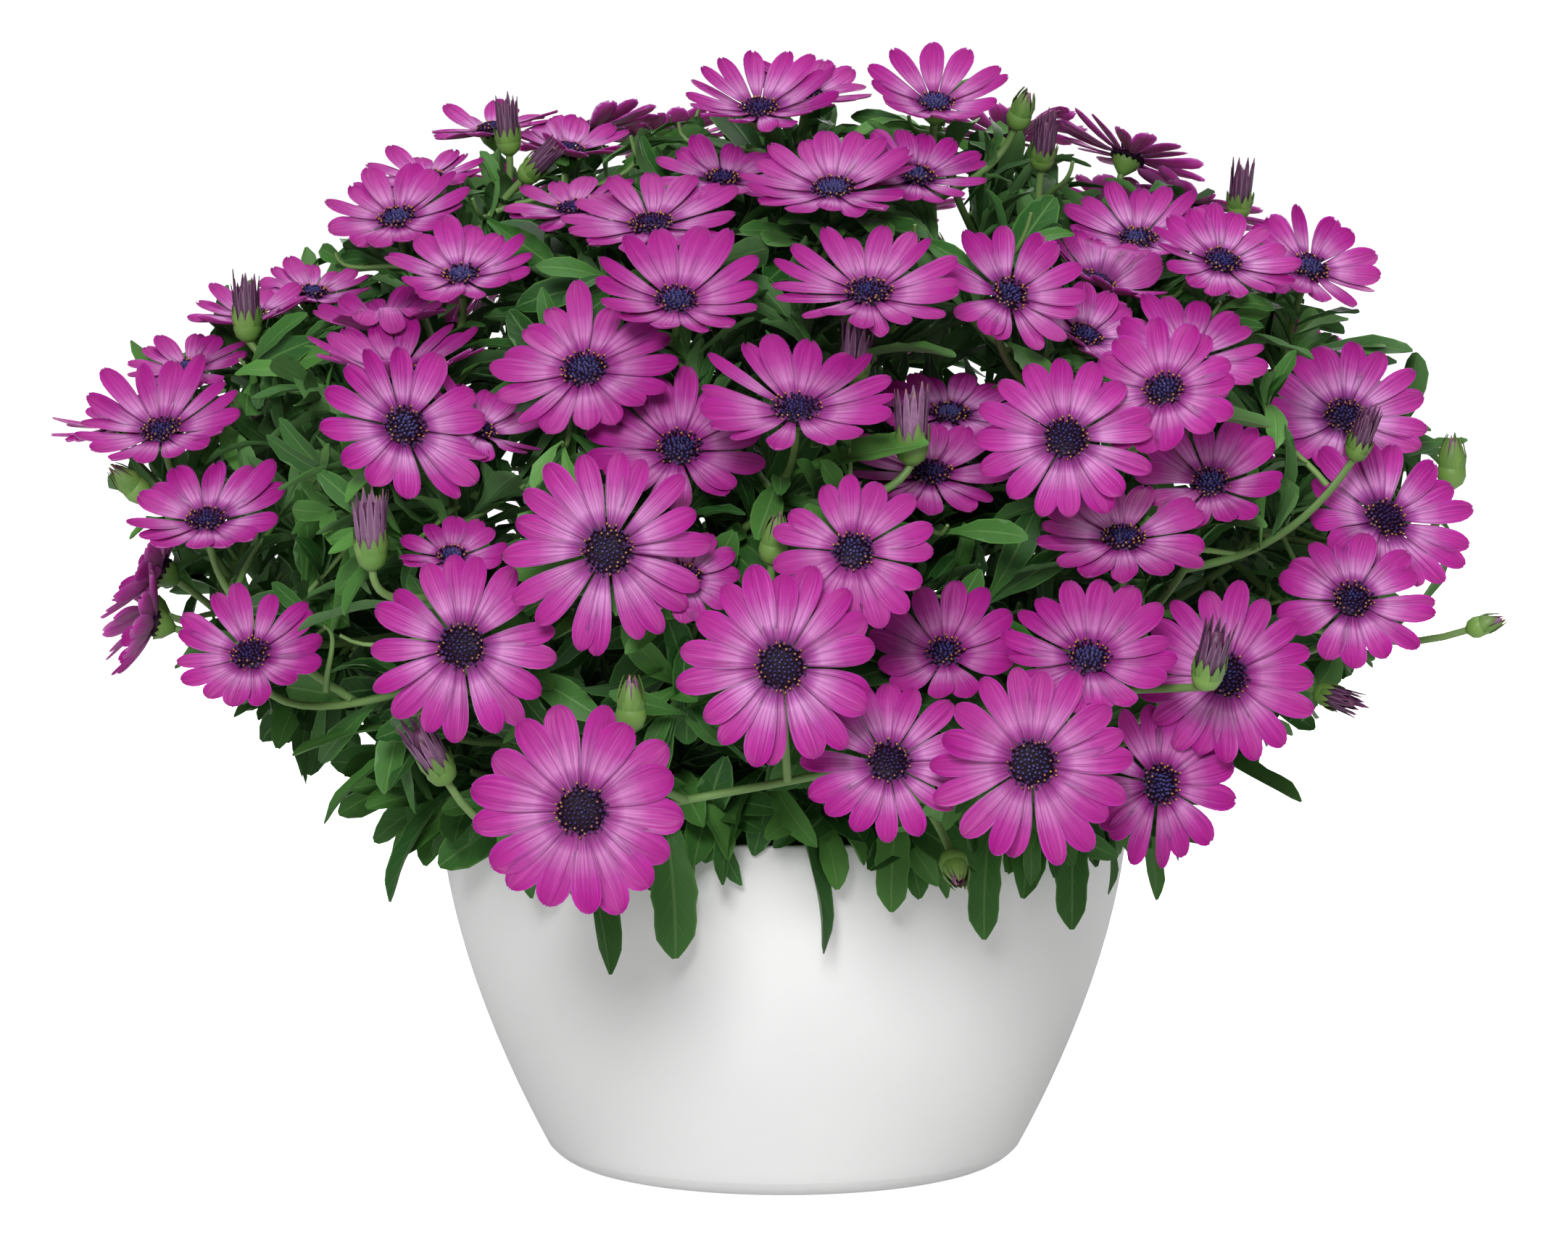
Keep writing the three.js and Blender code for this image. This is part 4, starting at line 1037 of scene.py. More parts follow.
def add_open_floret(maker, spot, lean, size, rng):
    """A floret that flares, some with pollen at its tip."""
    tall = rng.uniform(1.6, 2.4)
    radii = np.array([0.34, 0.4, 0.66]) * rng.uniform(0.85, 1.15) * size
    rises = np.array([0, 0.55, 0.86]) * tall
    tone = rng.uniform(0.2, 0.45)
    maker.turned(spot, lean, radii, rises, 5, FLORET, tone=tone, along=np.array([0, 0.3, 1.0]))
    if rng.uniform(0, 1) < POLLEN_SHARE:
        tip = spot + lean * (tall * 0.85)
        maker.turned(tip, lean, (0.3, 0.22), (0.1, 0.6), 4, POLLEN, tone=rng.uniform(0, 1))


def add_closed_floret(maker, spot, lean, size, share, shade, rng):
    """A floret that is still a knob, taller and darker further out."""
    tall = rng.uniform(1.1, 1.6) * (1 + 0.25 * share)
    radii = np.array([0.48, 0.62, 0.4]) * rng.uniform(0.85, 1.1) * size
    rises = np.array([0, 0.5, 0.95]) * tall
    tone = shade - 0.35 * share + rng.uniform(-0.2, 0.2)
    maker.turned(spot, lean, radii, rises, 4, FLORET, tone=tone, along=np.array([0, 0.5, 1.0]))


def add_disc(maker, bloom, rng, age, shade, crowded):
    """The disc: a low dome covered in florets. Those further out than age, a share, are open."""
    radius = DISC_SHARE * bloom.radius * 1.08
    shares = np.array([1.0, 1.0, 0.85, 0.6, 0.3])
    rises = (-DISC_UNDER, 0.6, 1.1, 1.5, 1.7)
    maker.turned(bloom.centre, bloom.normal, shares * radius, rises, 12, FLORET)
    count = int(round(crowded * radius))
    size = math.sqrt(FLORET_CROWD / crowded)
    turn = rng.uniform(0, 6.28)
    for k in range(count):
        share = math.sqrt((k + 0.5) / count)
        angle = turn + GOLDEN_TURN * k
        outward = math.cos(angle) * bloom.side + math.sin(angle) * bloom.top
        spot = bloom.centre + outward * (share * radius) + bloom.normal * (1.75 - 1.2 * share**2)
        spot = spot + rng.normal(0, 0.12, 3)
        lean = unit(bloom.normal + outward * (0.75 * share**2) + rng.normal(0, 0.08, 3))
        if share > age:
            add_open_floret(maker, spot, lean, size, rng)
        else:
            add_closed_floret(maker, spot, lean, size, share, shade, rng)


def petal_count(bloom):
    if bloom.radius > 31:
        return 17
    return 15 if bloom.radius > 26 else 13


def add_bloom(maker, index):
    """A whole bloom, with numbers of its own for each petal, over or under its partners."""
    bloom = blooms[index]
    rng = np.random.RandomState(500 + index)
    earlier = [other for other in blooms[:index] if other.group == bloom.group]
    partners = [(other, side_of(bloom, other)) for other in earlier]
    shown_side = index < SHOWN_BLOOMS
    grid = PETAL_FINE if shown_side else PETAL_PLAIN
    count = petal_count(bloom) + rng.randint(-1, 2)
    pitch = 2 * math.pi / count
    start = rng.uniform(0, 6.28)
    depth = rng.uniform(0, 1) + DEEPER_IN_FRONT * (-bloom.centre[1] > FRONT_OUT)
    full = math.pi / count * rng.uniform(0.66, 0.8) * bloom.radius
    for k in range(count):
        angle = start + (k + rng.uniform(-0.26, 0.26)) * pitch
        reach = rng.uniform(0.87, 1.0)
        half_width = full * rng.uniform(0.9, 1.14)
        rise = (0.4 if k % 2 else -0.35) + rng.uniform(-0.2, 0.2)
        tone = 0.55 * depth + rng.uniform(0, 0.45)
        add_petal(maker, bloom, partners, grid, angle, reach, half_width, rise, tone, rng)
    age = rng.uniform(0.55, 0.75)
    shade = rng.uniform(0.6, 1.15)
    add_disc(maker, bloom, rng, age, shade, FLORETS_SHOWN if shown_side else FLORETS_BEHIND)


def make_blooms(finishes):
    """A piece for each group of blooms."""
    for group in range(1 + max(bloom.group for bloom in blooms)):
        maker = Maker()
        for index, bloom in enumerate(blooms):
            if bloom.group == group:
                add_bloom(maker, index)
        name = f"bloom_{group + 1:02d}"
        finish_piece(maker.mesh(f"{name}_petals_and_disc", finishes), name)


# ---------------------------------------------------------------- stems, leaves and buds

LEAF_FINE = grid_of(
    [0, 0.1, 0.22, 0.32, 0.4, 0.47, 0.53, 0.6, 0.68, 0.75, 0.83, 0.9, 0.96, 1],
    [-1, -0.62, -0.22, 0, 0.22, 0.62, 1],
)
LEAF_PLAIN = grid_of([0, 0.25, 0.46, 0.66, 0.82, 0.94, 1], [-1, -0.5, 0, 0.5, 1])
LEAF_SIMPLE = grid_of([0, 0.3, 0.55, 0.76, 0.92, 1], [-1, 0, 1])
LEAF_COARSE = grid_of([0, 0.4, 0.75, 1], [-1, 0, 1])
LEAF_THICKNESS = 0.6
LEAF_TEETH = 3  # to each side
LEAF_WIDEST = 0.68
TEETH_FROM = 0.36
TEETH_TO = 0.92
LAID_LEAF_CURL = 0.05  # how far the tip of a leaf that is laid out as a solid curls, as a share


def leaf_outline(share, teeth):
    """Half width along a leaf: a narrow foot, widest past the middle, a blunt tip and coarse teeth."""
    grown = 0.14 + 0.86 * np.sin(np.pi / 2 * np.minimum(share / LEAF_WIDEST, 1)) ** 1.9
    past = np.maximum(0, (share - LEAF_WIDEST) / (1 - LEAF_WIDEST))
    outline = grown * np.maximum(0.03, 1 - past**2.6) ** 0.55
    phase = np.clip((share - TEETH_FROM) / (TEETH_TO - TEETH_FROM), 0, 1) * teeth
    saw = (phase - np.floor(phase)) * ((share > TEETH_FROM) & (share < TEETH_TO))
    return outline * (0.9 + 0.2 * saw)


def add_leaf(maker, leaf, grid, rng, tone):
    """A leaf along its line, with a sunk rib, raised sides and a tip that curls back."""
    share, across, faces = grid
    half = leaf.half_width * leaf_outline(share, LEAF_TEETH)
    fold = rng.uniform(0.1, 0.36)
    twist = rng.normal(0, 0.25) * share
    ruffle = 0.6 * np.sin(share * 19 + rng.uniform(0, 6)) * across**2 * share
    lift = half * np.abs(across) * fold + ruffle
    lift = lift - 0.5 * np.exp(-((across / 0.2) ** 2)) * (1 - share)
    bend = leaf.droop * 4 * share * (1 - share) - leaf.curl * leaf.length * share**2.4
    wide = half * across
    place = leaf.root + (share * leaf.length)[..., None] * leaf.line
    place = place + (wide * np.cos(twist) - lift * np.sin(twist))[..., None] * leaf.side
    place = place + (bend + wide * np.sin(twist) + lift * np.cos(twist))[..., None] * leaf.face
    upper = place + LEAF_THICKNESS / 2 * leaf.face
    lower = place - LEAF_THICKNESS / 2 * leaf.face
    maker.blade(upper, lower, LEAF, share, across, tone, faces)


def add_stem(maker, stem, rng):
    """A limb as laid out, or a stem as a smooth curve that thins towards its end."""
    tone = rng.uniform(0, 1)
    if stem.kind == "limb":
        maker.tube(sampled(stem.points, 6), LIMB_RADIUS, 8, STEM, tone=tone)
        return
    line = bezier(stem.control, 14)
    share = np.linspace(0, 1, len(line))
    maker.tube(line, STEM_RADIUS * (1.08 - 0.12 * share), 7, STEM, along=share, tone=tone)
    if stem.kind == "bloom":
        add_calyx(maker, stem.bloom, line[-1], rng)


def add_calyx(maker, bloom, end, rng):
    """The green cup under a bloom, with a ring of pointed bracts against the petals."""
    sides = 26
    pointed = np.where(np.arange(sides) % 2, 1.0, 0.0)
    radii = np.array([1.3, 2.6, 4.4, 5.0, 5.9])
    rises = np.array([0, 1.4, 3.6, 5.2, 6.6])[:, None] * np.ones(sides)
    rises[-1] = 5.4 + 1.5 * pointed
    rises[-2] = 4.9 + 0.4 * pointed
    ripple = np.ones((5, sides))
    ripple[-1] = 0.84 + 0.16 * pointed
    ripple[2:4] = 1 + 0.05 * pointed
    tone = rng.uniform(0, 1)
    maker.turned(end, bloom.normal, radii, rises, sides, BRACT, ripple, along=np.linspace(0, 1, 5), tone=tone)


BRACT_GRID = grid_of([0, 0.3, 0.62, 0.86, 1], [-1, 0, 1])
FOLDED_GRID = grid_of([0, 0.3, 0.6, 0.85, 1], [-1, 0, 1])
BRACT_COUNT = 12
FOLDED_COUNT = 13
BUD_SHAPES = {
    # kind: reach of the folded petals and of the bracts (shares of the length), how far the
    # petals' tips spread (share of the radius), and their tone
    "green": (0.98, 0.95, 0.25, 0.9),
    "pale": (1.4, 0.7, 1.16, 0.75),
    "dark": (1.34, 0.66, 0.92, 0.1),
}


def add_bud(maker, bud, rng):
    """A bud: a bundle of folded petals with uneven tips, held by pointed green bracts."""
    reach, held, flare, tint = BUD_SHAPES[bud.kind]
    radius, length = bud.radius, bud.length
    rises = np.array([0.05, 0.3, 0.55, 0.8, 1.0])
    core = np.array([0.4, 0.7, 0.7, 0.5 * flare + 0.1, 0.3 * flare]) * radius
    maker.turned(bud.base, bud.axis, core, rises * length * reach * 0.86, 12, FOLDED, along=rises)
    knob = np.array([0.34, 0.8, 0.98, 0.92, 0.66])
    heights = np.array([-0.03, 0.08, 0.24, 0.4, 0.5]) * length
    steps = np.linspace(0, 0.5, 5)
    maker.turned(bud.base, bud.axis, knob * radius, heights, 18, BRACT, along=steps, tone=rng.uniform(0.3, 1))
    side = unit(np.cross(bud.axis, vec(0.2, 0.7, 0.5)))
    other = np.cross(bud.axis, side)

    def sepal(grid, count, k, tall, wide, profile, finish, tone, thickness):
        share, across, faces = grid
        angle = 2 * math.pi * (k + rng.uniform(-0.15, 0.15)) / count
        outward = math.cos(angle) * side + math.sin(angle) * other
        sideways = np.cross(bud.axis, outward)
        place = bud.base + (share * tall)[..., None] * bud.axis + (wide * across)[..., None] * sideways
        upper = place + (profile - 0.25 * across**2)[..., None] * outward
        maker.blade(upper, upper - thickness * outward, finish, share, across, tone, faces)

    for k in range(FOLDED_COUNT):
        share = FOLDED_GRID[0]
        tall = length * reach * rng.uniform(0.84, 1.08)
        wide = 0.28 * radius * (0.6 + 0.4 * share) * np.maximum(0.1, 1 - share**6)
        held_in = 0.3 + 0.56 * np.minimum(share / 0.3, 1)
        spread_out = radius * (held_in + (flare - 0.86) * share**1.6 + rng.uniform(-0.12, 0.12) * share**2)
        if bud.kind == "green":
            spread_out = radius * (held_in - 0.6 * share**2)
        tone = np.clip(tint + rng.uniform(-0.25, 0.25), 0, 1)
        sepal(FOLDED_GRID, FOLDED_COUNT, k, tall, wide, spread_out, FOLDED, tone, 0.6)
    for k in range(BRACT_COUNT):
        share = BRACT_GRID[0]
        tall = length * held * rng.uniform(0.85, 1.12)
        wide = 0.33 * radius * np.sin(np.pi * np.clip(0.16 + 0.84 * share, 0, 0.985)) ** 0.8
        swell = 0.42 + 0.66 * np.sin(np.minimum(share * 1.5, 1) * np.pi / 2)
        spread_out = radius * (swell + rng.uniform(-0.12, 0.1) * share**3)
        if bud.kind == "green":
            spread_out = radius * (swell - 0.6 * share**3)
        sepal(BRACT_GRID, BRACT_COUNT, k, tall, wide, spread_out, BRACT, rng.uniform(0.2, 1), 0.5)


# ---------------------------------------------------------------- shoots and leaves that fill the dome

# The way that someone in front of the show side looks
VIEW_WAY = vec(0, math.cos(math.radians(VIEW_ELEVATION)), -math.sin(math.radians(VIEW_ELEVATION)))

# Thin leafy shoots
SHOOT_ROOTS = slice(3, -3)  # the samples of a stem that shoots may grow from
SHOOT_TRIES = 2600
SHOOT_SPACING = 34.0
SHOOT_RADIUS = 1.1
SHOOT_STEPS = 9
SHOOT_LOWEST = 172.0
SHOOT_SHORTEST = 24.0
SHOOT_LONGEST = 124.0
RIM_PITCH = 15  # degrees round the pot between the shoots that reach over its rim

# Leaves tried at each point of a stem: all over, over the rim and by the buds
FILL_TRIES = 9
RIM_TRIES = 14
BUD_TRIES = 5
FLOWER_STEM_SHARE = 0.88  # share of a flower stem or bud stem that has leaves all over
BUD_STEM = 9  # the samples at the end of a bud's stem that leaves by the bud grow from
BUD_STEM_SHARE = 0.9  # and the share of them that do
BUD_LEAF = 0.55  # size of the small leaves by a bud
BUD_STRAY = 0.6  # and how much further out of the dome they may reach
RIM_ZONE = 196.0  # leaves reach over the rim from below this height and further out than RIM_ROOTS_OUT
RIM_ROOTS_OUT = 66.0
FILL_CELL = 14.5  # one leaf's middle to a cell of this size
FILL_SPOTS = np.array([0.15, 0.32, 0.48, 0.64, 0.8, 1.0])
LEAF_VALUES = ("root", "line", "face", "side", "length", "half_width", "droop", "curl")

# Room that the leaves keep
FILL_ROOM = 1.2  # behind a bloom's petals
FACE_ROOM = 42.0  # in front of its face
HIDING_SHARE = 0.9  # share of a bloom's radius that leaves in front may not hide
BUD_ROOM = 7.5
POT_ROOM = 1.5
SOIL_ROOM = 6.0
SIDE_STEMS_OUT = 96.0  # stems further out than this, and lower than SIDE_STEMS_UP, show bare
SIDE_STEMS_UP = 236.0
SIDE_STEM_ROOM = 4.2

# How far leaves reach
FILL_REACH = 1.0  # out of the dome's middle, with 1 on the dome
STRAY_LEAVES = 0.2  # share of the leaves that may stick out of the dome by STRAY_REACH
STRAY_REACH = 0.07
TOP_ZONE = 290.0  # above this height the leaves keep lower than the blooms
TOP_PULL = 0.38
SKIRT_REACH = 145.0  # how far out leaves reach at SKIRT_UP, and how much further for each mm above it
SKIRT_UP = 100.0
SKIRT_SLOPE = 0.85
STRAY_SKIRT = 60.0  # how much further the leaves by buds reach, for each 1 of reach past STRAY_DOME
STRAY_DOME = 1.2
OUTER_BOX = vec(250, 241, 404)
FREE_LOWEST = 140.0  # leaves hang no lower than this, or no lower than NEAR_LOWEST from near the rim
NEAR_LOWEST = 118.0
NEAR_RIM = 20.0
HANGING_LOWEST = 98.0  # a share of those from the rim itself hang down to here
HANGING_RIM = 8.0
HANGING_SHARE = 0.5

# Which leaves are made fine
FILL_OUTER = 0.76  # shares of the way out of the dome's middle
FILL_INNER = 0.6
FILL_FRONT = 20.0  # the show side is what lies nearer to its viewer than this, behind the middle


class FillLeaves:
    """Many leaves at once, as rows of arrays with the names of one leaf's values."""

    def __init__(self, roots, axes, sectors, rng, over_rim, size):
        count = len(roots)
        out = dome_way(roots)
        level = unit_rows(roots * vec(1, 1, 0))
        ahead = np.clip(-level[:, 1:2], 0, 1) ** 2
        if over_rim:
            sideways = np.cross(vec(0, 0, 1), level) * rng.normal(0, 0.6, (count, 1))
            drop = 0.02 + 0.18 * ahead + (0.4 + 0.3 * ahead) * rng.uniform(-1, 1, (count, 1))
            line = level * rng.uniform(0.3, 1, (count, 1)) + sideways - drop * vec(0, 0, 1)
            shown_side = (roots[:, 1:2] < FILL_FRONT) * (1 - ahead)
            face = level * (1 - 0.5 * shown_side) + vec(0, 0, 0.6) + shown_side * vec(0, -1.1, 0)
        else:
            round_it = rng.normal(0, 1, (count, 3)) + 0.9 * out
            round_it = unit_rows(round_it - axes * (round_it * axes).sum(1)[:, None])
            spread_out = rng.uniform(0.45, 1.3, (count, 1))
            line = axes * np.cos(spread_out) + round_it * np.sin(spread_out)
            face = axes * np.sin(spread_out) - round_it * np.cos(spread_out) + 0.5 * out
        self.line = unit_rows(line)
        face = face + rng.normal(0, 0.25, (count, 3))
        self.face = unit_rows(face - self.line * (face * self.line).sum(1)[:, None])
        self.side = np.cross(self.line, self.face)
        self.root = roots
        self.sector = sectors
        self.length = size * (22 + 26 * rng.uniform(0, 1, count) ** 1.3)
        self.half_width = self.length * rng.uniform(0.1, 0.15, count)
        if over_rim:
            self.half_width = self.length * rng.uniform(0.13, 0.19, count)
        self.droop = rng.uniform(0, 4, count)
        self.curl = rng.uniform(0, 0.24, count) + (0.16 * ahead[:, 0] if over_rim else 0)

    def spots(self):
        """Points down the middle and along both edges of every leaf: leaves, points, 3."""
        share = FILL_SPOTS
        bend = self.droop[:, None] * 4 * share * (1 - share) - (self.curl * self.length)[:, None] * share**2.4
        middle = self.root[:, None] + (self.length[:, None] * share)[..., None] * self.line[:, None]
        middle = middle + bend[..., None] * self.face[:, None]
        half = self.half_width[:, None] * leaf_outline(share, 1)
        edge = half[..., None] * self.side[:, None]
        return np.concatenate([middle, middle + edge, middle - edge], 1)

    def only(self, kept):
        """Drops all but some of the leaves."""
        for key in (*LEAF_VALUES, "sector"):
            setattr(self, key, getattr(self, key)[kept])


class OneLeaf:
    """One row of FillLeaves, with what add_leaf needs."""

    def __init__(self, all_leaves, index):
        for key in LEAF_VALUES:
            setattr(self, key, getattr(all_leaves, key)[index])


def dome_way(points):
    """The way out of the dome at points, square to its surface."""
    from_middle = points - vec(0, 0, DOME_UP)
    widths = np.tile(vec(DOME_HALF_WIDTH, DOME_HALF_DEPTH, DOME_DROP), (len(points), 1))
    widths[from_middle[:, 2] > 0, 2] = DOME_RISE
    return unit_rows(from_middle / widths**2)


def shoot_ends(rng):
    """Where shoots may end, the way out there, and how many of them, first, reach over the rim."""
    ways = unit_rows(rng.normal(0, 1, (SHOOT_TRIES, 3)) + vec(0, 0, 0.25))
    widths = vec(DOME_HALF_WIDTH, DOME_HALF_DEPTH, DOME_RISE)
    ends = ways * widths * rng.uniform(0.72, 0.94, (SHOOT_TRIES, 1)) + vec(0, 0, DOME_UP)
    ends = ends[ends[:, 2] > SHOOT_LOWEST]
    bearings = [angle + rng.uniform(-6, 6) for angle in range(0, 360, RIM_PITCH)]
    rim = np.array([at_bearing(angle, POT_RIM - 2, POT_HEIGHT + 12) for angle in bearings])
    out = np.concatenate([unit_rows(rim * vec(1, 1, 0)), dome_way(ends)])
    return np.concatenate([rim, ends]), out, len(rim)


def lay_shoots():
    """Thin leafy shoots from the stems out to the open places between the blooms: lists of points."""
    rng = np.random.RandomState(31)
    rows = [stem.own_samples[SHOOT_ROOTS] for stem in stems]
    roots = np.concatenate(rows)
    sectors = np.repeat([stem.sector for stem in stems], [len(row) for row in rows])
    made = []
    curves = []
    ends, out, rim_shoots = shoot_ends(rng)
    for end, way in zip(ends, out):
        if len(made) > rim_shoots and any(size_of(end - other) < SHOOT_SPACING for other in made):
            continue
        away = end - roots
        length = np.sqrt((away * away).sum(1))
        rises = (away @ unit(way + vec(0, 0, 0.6))) / length
        fit = np.nonzero((length > SHOOT_SHORTEST) & (length < SHOOT_LONGEST) & (rises > 0.3))[0]
        if len(fit) == 0:
            continue
        pick = fit[np.argmin(length[fit])]
        root = roots[pick]
        arrive = unit(way + vec(0, 0, 0.7) + rng.normal(0, 0.25, 3))
        control = (root, root + (end - root) * 0.4, end - arrive * (0.35 * length[pick]), end)
        curve = bezier(control, SHOOT_STEPS)
        if not clear_of_dishes(curve[None, 2:])[0] or not clear_of_buds(curve[None, 2:])[0]:
            continue
        if not clear_of_pot(curve[None])[0]:
            continue
        made.append(end)
        curves.append((curve, sectors[pick]))
    return curves


def clear_of_dishes(points):
    """Which rows of points keep out of every dish and of the room in front of its face.

    On the show side they also keep from in front of a bloom as the viewer sees it.
    """
    onto_dish = dishes.normal @ VIEW_WAY
    clear = []
    for part in np.array_split(points, max(1, len(points) // 1000)):
        spots = part.reshape(-1, 3)
        distance, over, _ = dishes.against(spots)
        inside = (distance < dishes.radius + FILL_ROOM) & (over > -FILL_ROOM) & (over < FACE_ROOM)
        away = dishes.centre - spots[:, None]
        ahead = (away * dishes.normal).sum(-1) / onto_dish
        across = away - ahead[..., None] * VIEW_WAY
        hides = (ahead > 0) & ((across * across).sum(-1) < (HIDING_SHARE * dishes.radius) ** 2)
        clear.append(~(inside | hides & (onto_dish < -0.1)).any(1).reshape(part.shape[:2]).any(1))
    return np.concatenate(clear)


def clear_ahead_of(bodies, points, room):
    """Which rows of points keep off some bodies, and from in front of them as the viewer sees them."""
    clear = np.full(len(points), True)
    for body in bodies:
        away = points - body
        before = away @ VIEW_WAY
        aside = np.sqrt(np.maximum(0, (away * away).sum(-1) - before**2))
        clear &= ~((aside < room) & (before < room)).any(1)
    return clear


def clear_of_buds(points):
    """Which rows of points keep off every bud, and from in front of it."""
    shares = np.linspace(0, 1.3, 6)
    bodies = [bud.base + bud.axis * (shares * bud.length)[:, None] for bud in buds]
    return clear_ahead_of(np.concatenate(bodies), points, BUD_ROOM)


def clear_of_side_stems(points):
    """Which rows of points keep from in front of the stems that arch out low at the two sides."""
    bodies = np.concatenate([stem.own_samples[::2] for stem in stems])
    bodies = bodies[(np.abs(bodies[:, 0]) > SIDE_STEMS_OUT) & (bodies[:, 2] < SIDE_STEMS_UP)]
    return clear_ahead_of(bodies[bodies[:, 1] < FILL_FRONT], points, SIDE_STEM_ROOM)


def clear_of_pot(points):
    """Which rows of points keep out of the pot's wall and the soil."""
    reach = np.hypot(points[..., 0], points[..., 1])
    up = points[..., 2]
    wall = pot_radius(np.maximum(up, 0))
    outside = wall + POT_ROOM - reach
    inside = np.maximum(reach - (wall - POT_WALL - POT_ROOM), SOIL_TOP + SOIL_ROOM - up)
    return ((up > POT_HEIGHT + POT_ROOM) | (np.minimum(outside, inside) <= 0)).all(1)


def leaf_roots(shoots):
    """Where leaves may grow, the way the stem runs there, its sector, and whether that is by a bud."""
    lines = [
        (stem.own_samples, stem.sector, 1.0 if stem.kind == "limb" else FLOWER_STEM_SHARE, False)
        for stem in stems
    ]
    lines += [(curve, sector, 1.0, False) for curve, sector in shoots]
    for stem in stems:
        if stem.kind == "bud":
            lines.append((stem.own_samples[-BUD_STEM:], stem.sector, BUD_STEM_SHARE, True))
    roots, ways, sectors, by_bud = [], [], [], []
    for line, sector, share, near_bud in lines:
        last = max(3, int(share * len(line)))
        roots.append(line[2:last])
        ways.append(unit_rows(np.gradient(line, axis=0))[2:last])
        sectors.append(np.full(last - 2, sector))
        by_bud.append(np.full(last - 2, near_bud))
    return [np.concatenate(rows) for rows in (roots, ways, sectors, by_bud)]


def in_reach(points, reach):
    """Which rows of points lie inside the dome, and inside the skirt that narrows to the pot."""
    level = np.hypot(points[..., 0], points[..., 1] * DOME_HALF_WIDTH / DOME_HALF_DEPTH)
    reach = reach - TOP_PULL * np.clip((points[..., 2] - TOP_ZONE) / TOP_ZONE, 0, 1)
    skirt = SKIRT_REACH + SKIRT_SLOPE * (points[..., 2] - SKIRT_UP)
    skirt = skirt + STRAY_SKIRT * np.maximum(0, reach - STRAY_DOME)
    inside = (dome_share(points) < reach) & (level < skirt)
    return (inside & (np.abs(points) < OUTER_BOX).all(-1)).all(1)


def fitting_leaves(roots, axes, sectors, rng, over_rim, size, further):
    """Leaves from some roots, without those that stick out, hang too low or hide what should show."""
    leaves = FillLeaves(roots, axes, sectors, rng, over_rim, size)
    stray = STRAY_REACH * (rng.uniform(0, 1, len(roots)) < STRAY_LEAVES)
    leaves.only(in_reach(leaves.spots(), FILL_REACH + stray[:, None] + further))
    for clear in (clear_of_pot, clear_of_buds, clear_of_dishes, clear_of_side_stems):
        leaves.only(clear(leaves.spots()))
    lowest = leaves.spots()[..., 2].min(1)
    past_rim = np.hypot(leaves.root[:, 0], leaves.root[:, 1]) - POT_RIM
    chosen = rng.uniform(0, 1, len(lowest)) < HANGING_SHARE
    hangs = (lowest > HANGING_LOWEST) & (past_rim < HANGING_RIM) & chosen
    leaves.only((lowest > FREE_LOWEST) | (lowest > NEAR_LOWEST) & (past_rim < NEAR_RIM) | hangs)
    return leaves


def lay_fill_leaves(shoots):
    """Leaves from points all along the stems and shoots, wherever they pass between the blooms."""
    rng = np.random.RandomState(77)
    roots, axes, sectors, by_bud = leaf_roots(shoots)
    low = ~by_bud & (roots[:, 2] < RIM_ZONE) & (np.hypot(roots[:, 0], roots[:, 1]) > RIM_ROOTS_OUT)
    made = []
    for here, tries, over_rim, size, further in (
        (~by_bud, FILL_TRIES, False, 1.0, 0.0),
        (low, RIM_TRIES, True, 1.0, 0.0),
        (by_bud, BUD_TRIES, False, BUD_LEAF, BUD_STRAY),
    ):
        rows = [np.repeat(values[here], tries, 0) for values in (roots, axes, sectors)]
        made.append(fitting_leaves(*rows, rng, over_rim, size, further))
    taken = set()
    fill = []
    for leaves in made[::-1]:
        middles = leaves.spots()[:, 3]
        depth = dome_share(middles)
        for index in rng.permutation(len(middles)):
            cell = tuple((middles[index] // FILL_CELL).astype(int))
            if cell not in taken:
                taken.add(cell)
                fill.append((OneLeaf(leaves, index), leaves.sector[index], depth[index]))
    return fill


def fill_grid(leaf, depth):
    """A finer grid for the leaves that show, on the outside and on the show side."""
    if depth > FILL_OUTER and leaf.root[1] < FILL_FRONT:
        return LEAF_PLAIN
    return LEAF_SIMPLE if depth > FILL_INNER else LEAF_COARSE


def add_crown(maker, sector):
    """The knobbly foot of a leafy stem, from down in the soil."""
    foot = at_bearing(sector * 360 / SECTORS, CROWN_DISTANCE, SOIL_TOP - CROWN_DEPTH)
    rises = np.array([0, 8, 14, 18, 21, 22])
    radii = np.array([1, 0.96, 0.9, 0.86, 0.78, 0.5]) * CROWN_RADIUS
    knots = 1 + 0.07 * np.sin(np.arange(CROWN_SIDES) * 2.1) * np.ones((len(rises), 1))
    maker.turned(foot, vec(0, 0, 1), radii, rises, CROWN_SIDES, STEM, knots, along=-1.0, tone=0.2)


def add_shoot(maker, curve, tone):
    radii = SHOOT_RADIUS * np.linspace(1.1, 0.6, len(curve))
    maker.tube(curve, radii, 6, STEM, along=np.linspace(0, 1, len(curve)), tone=tone)


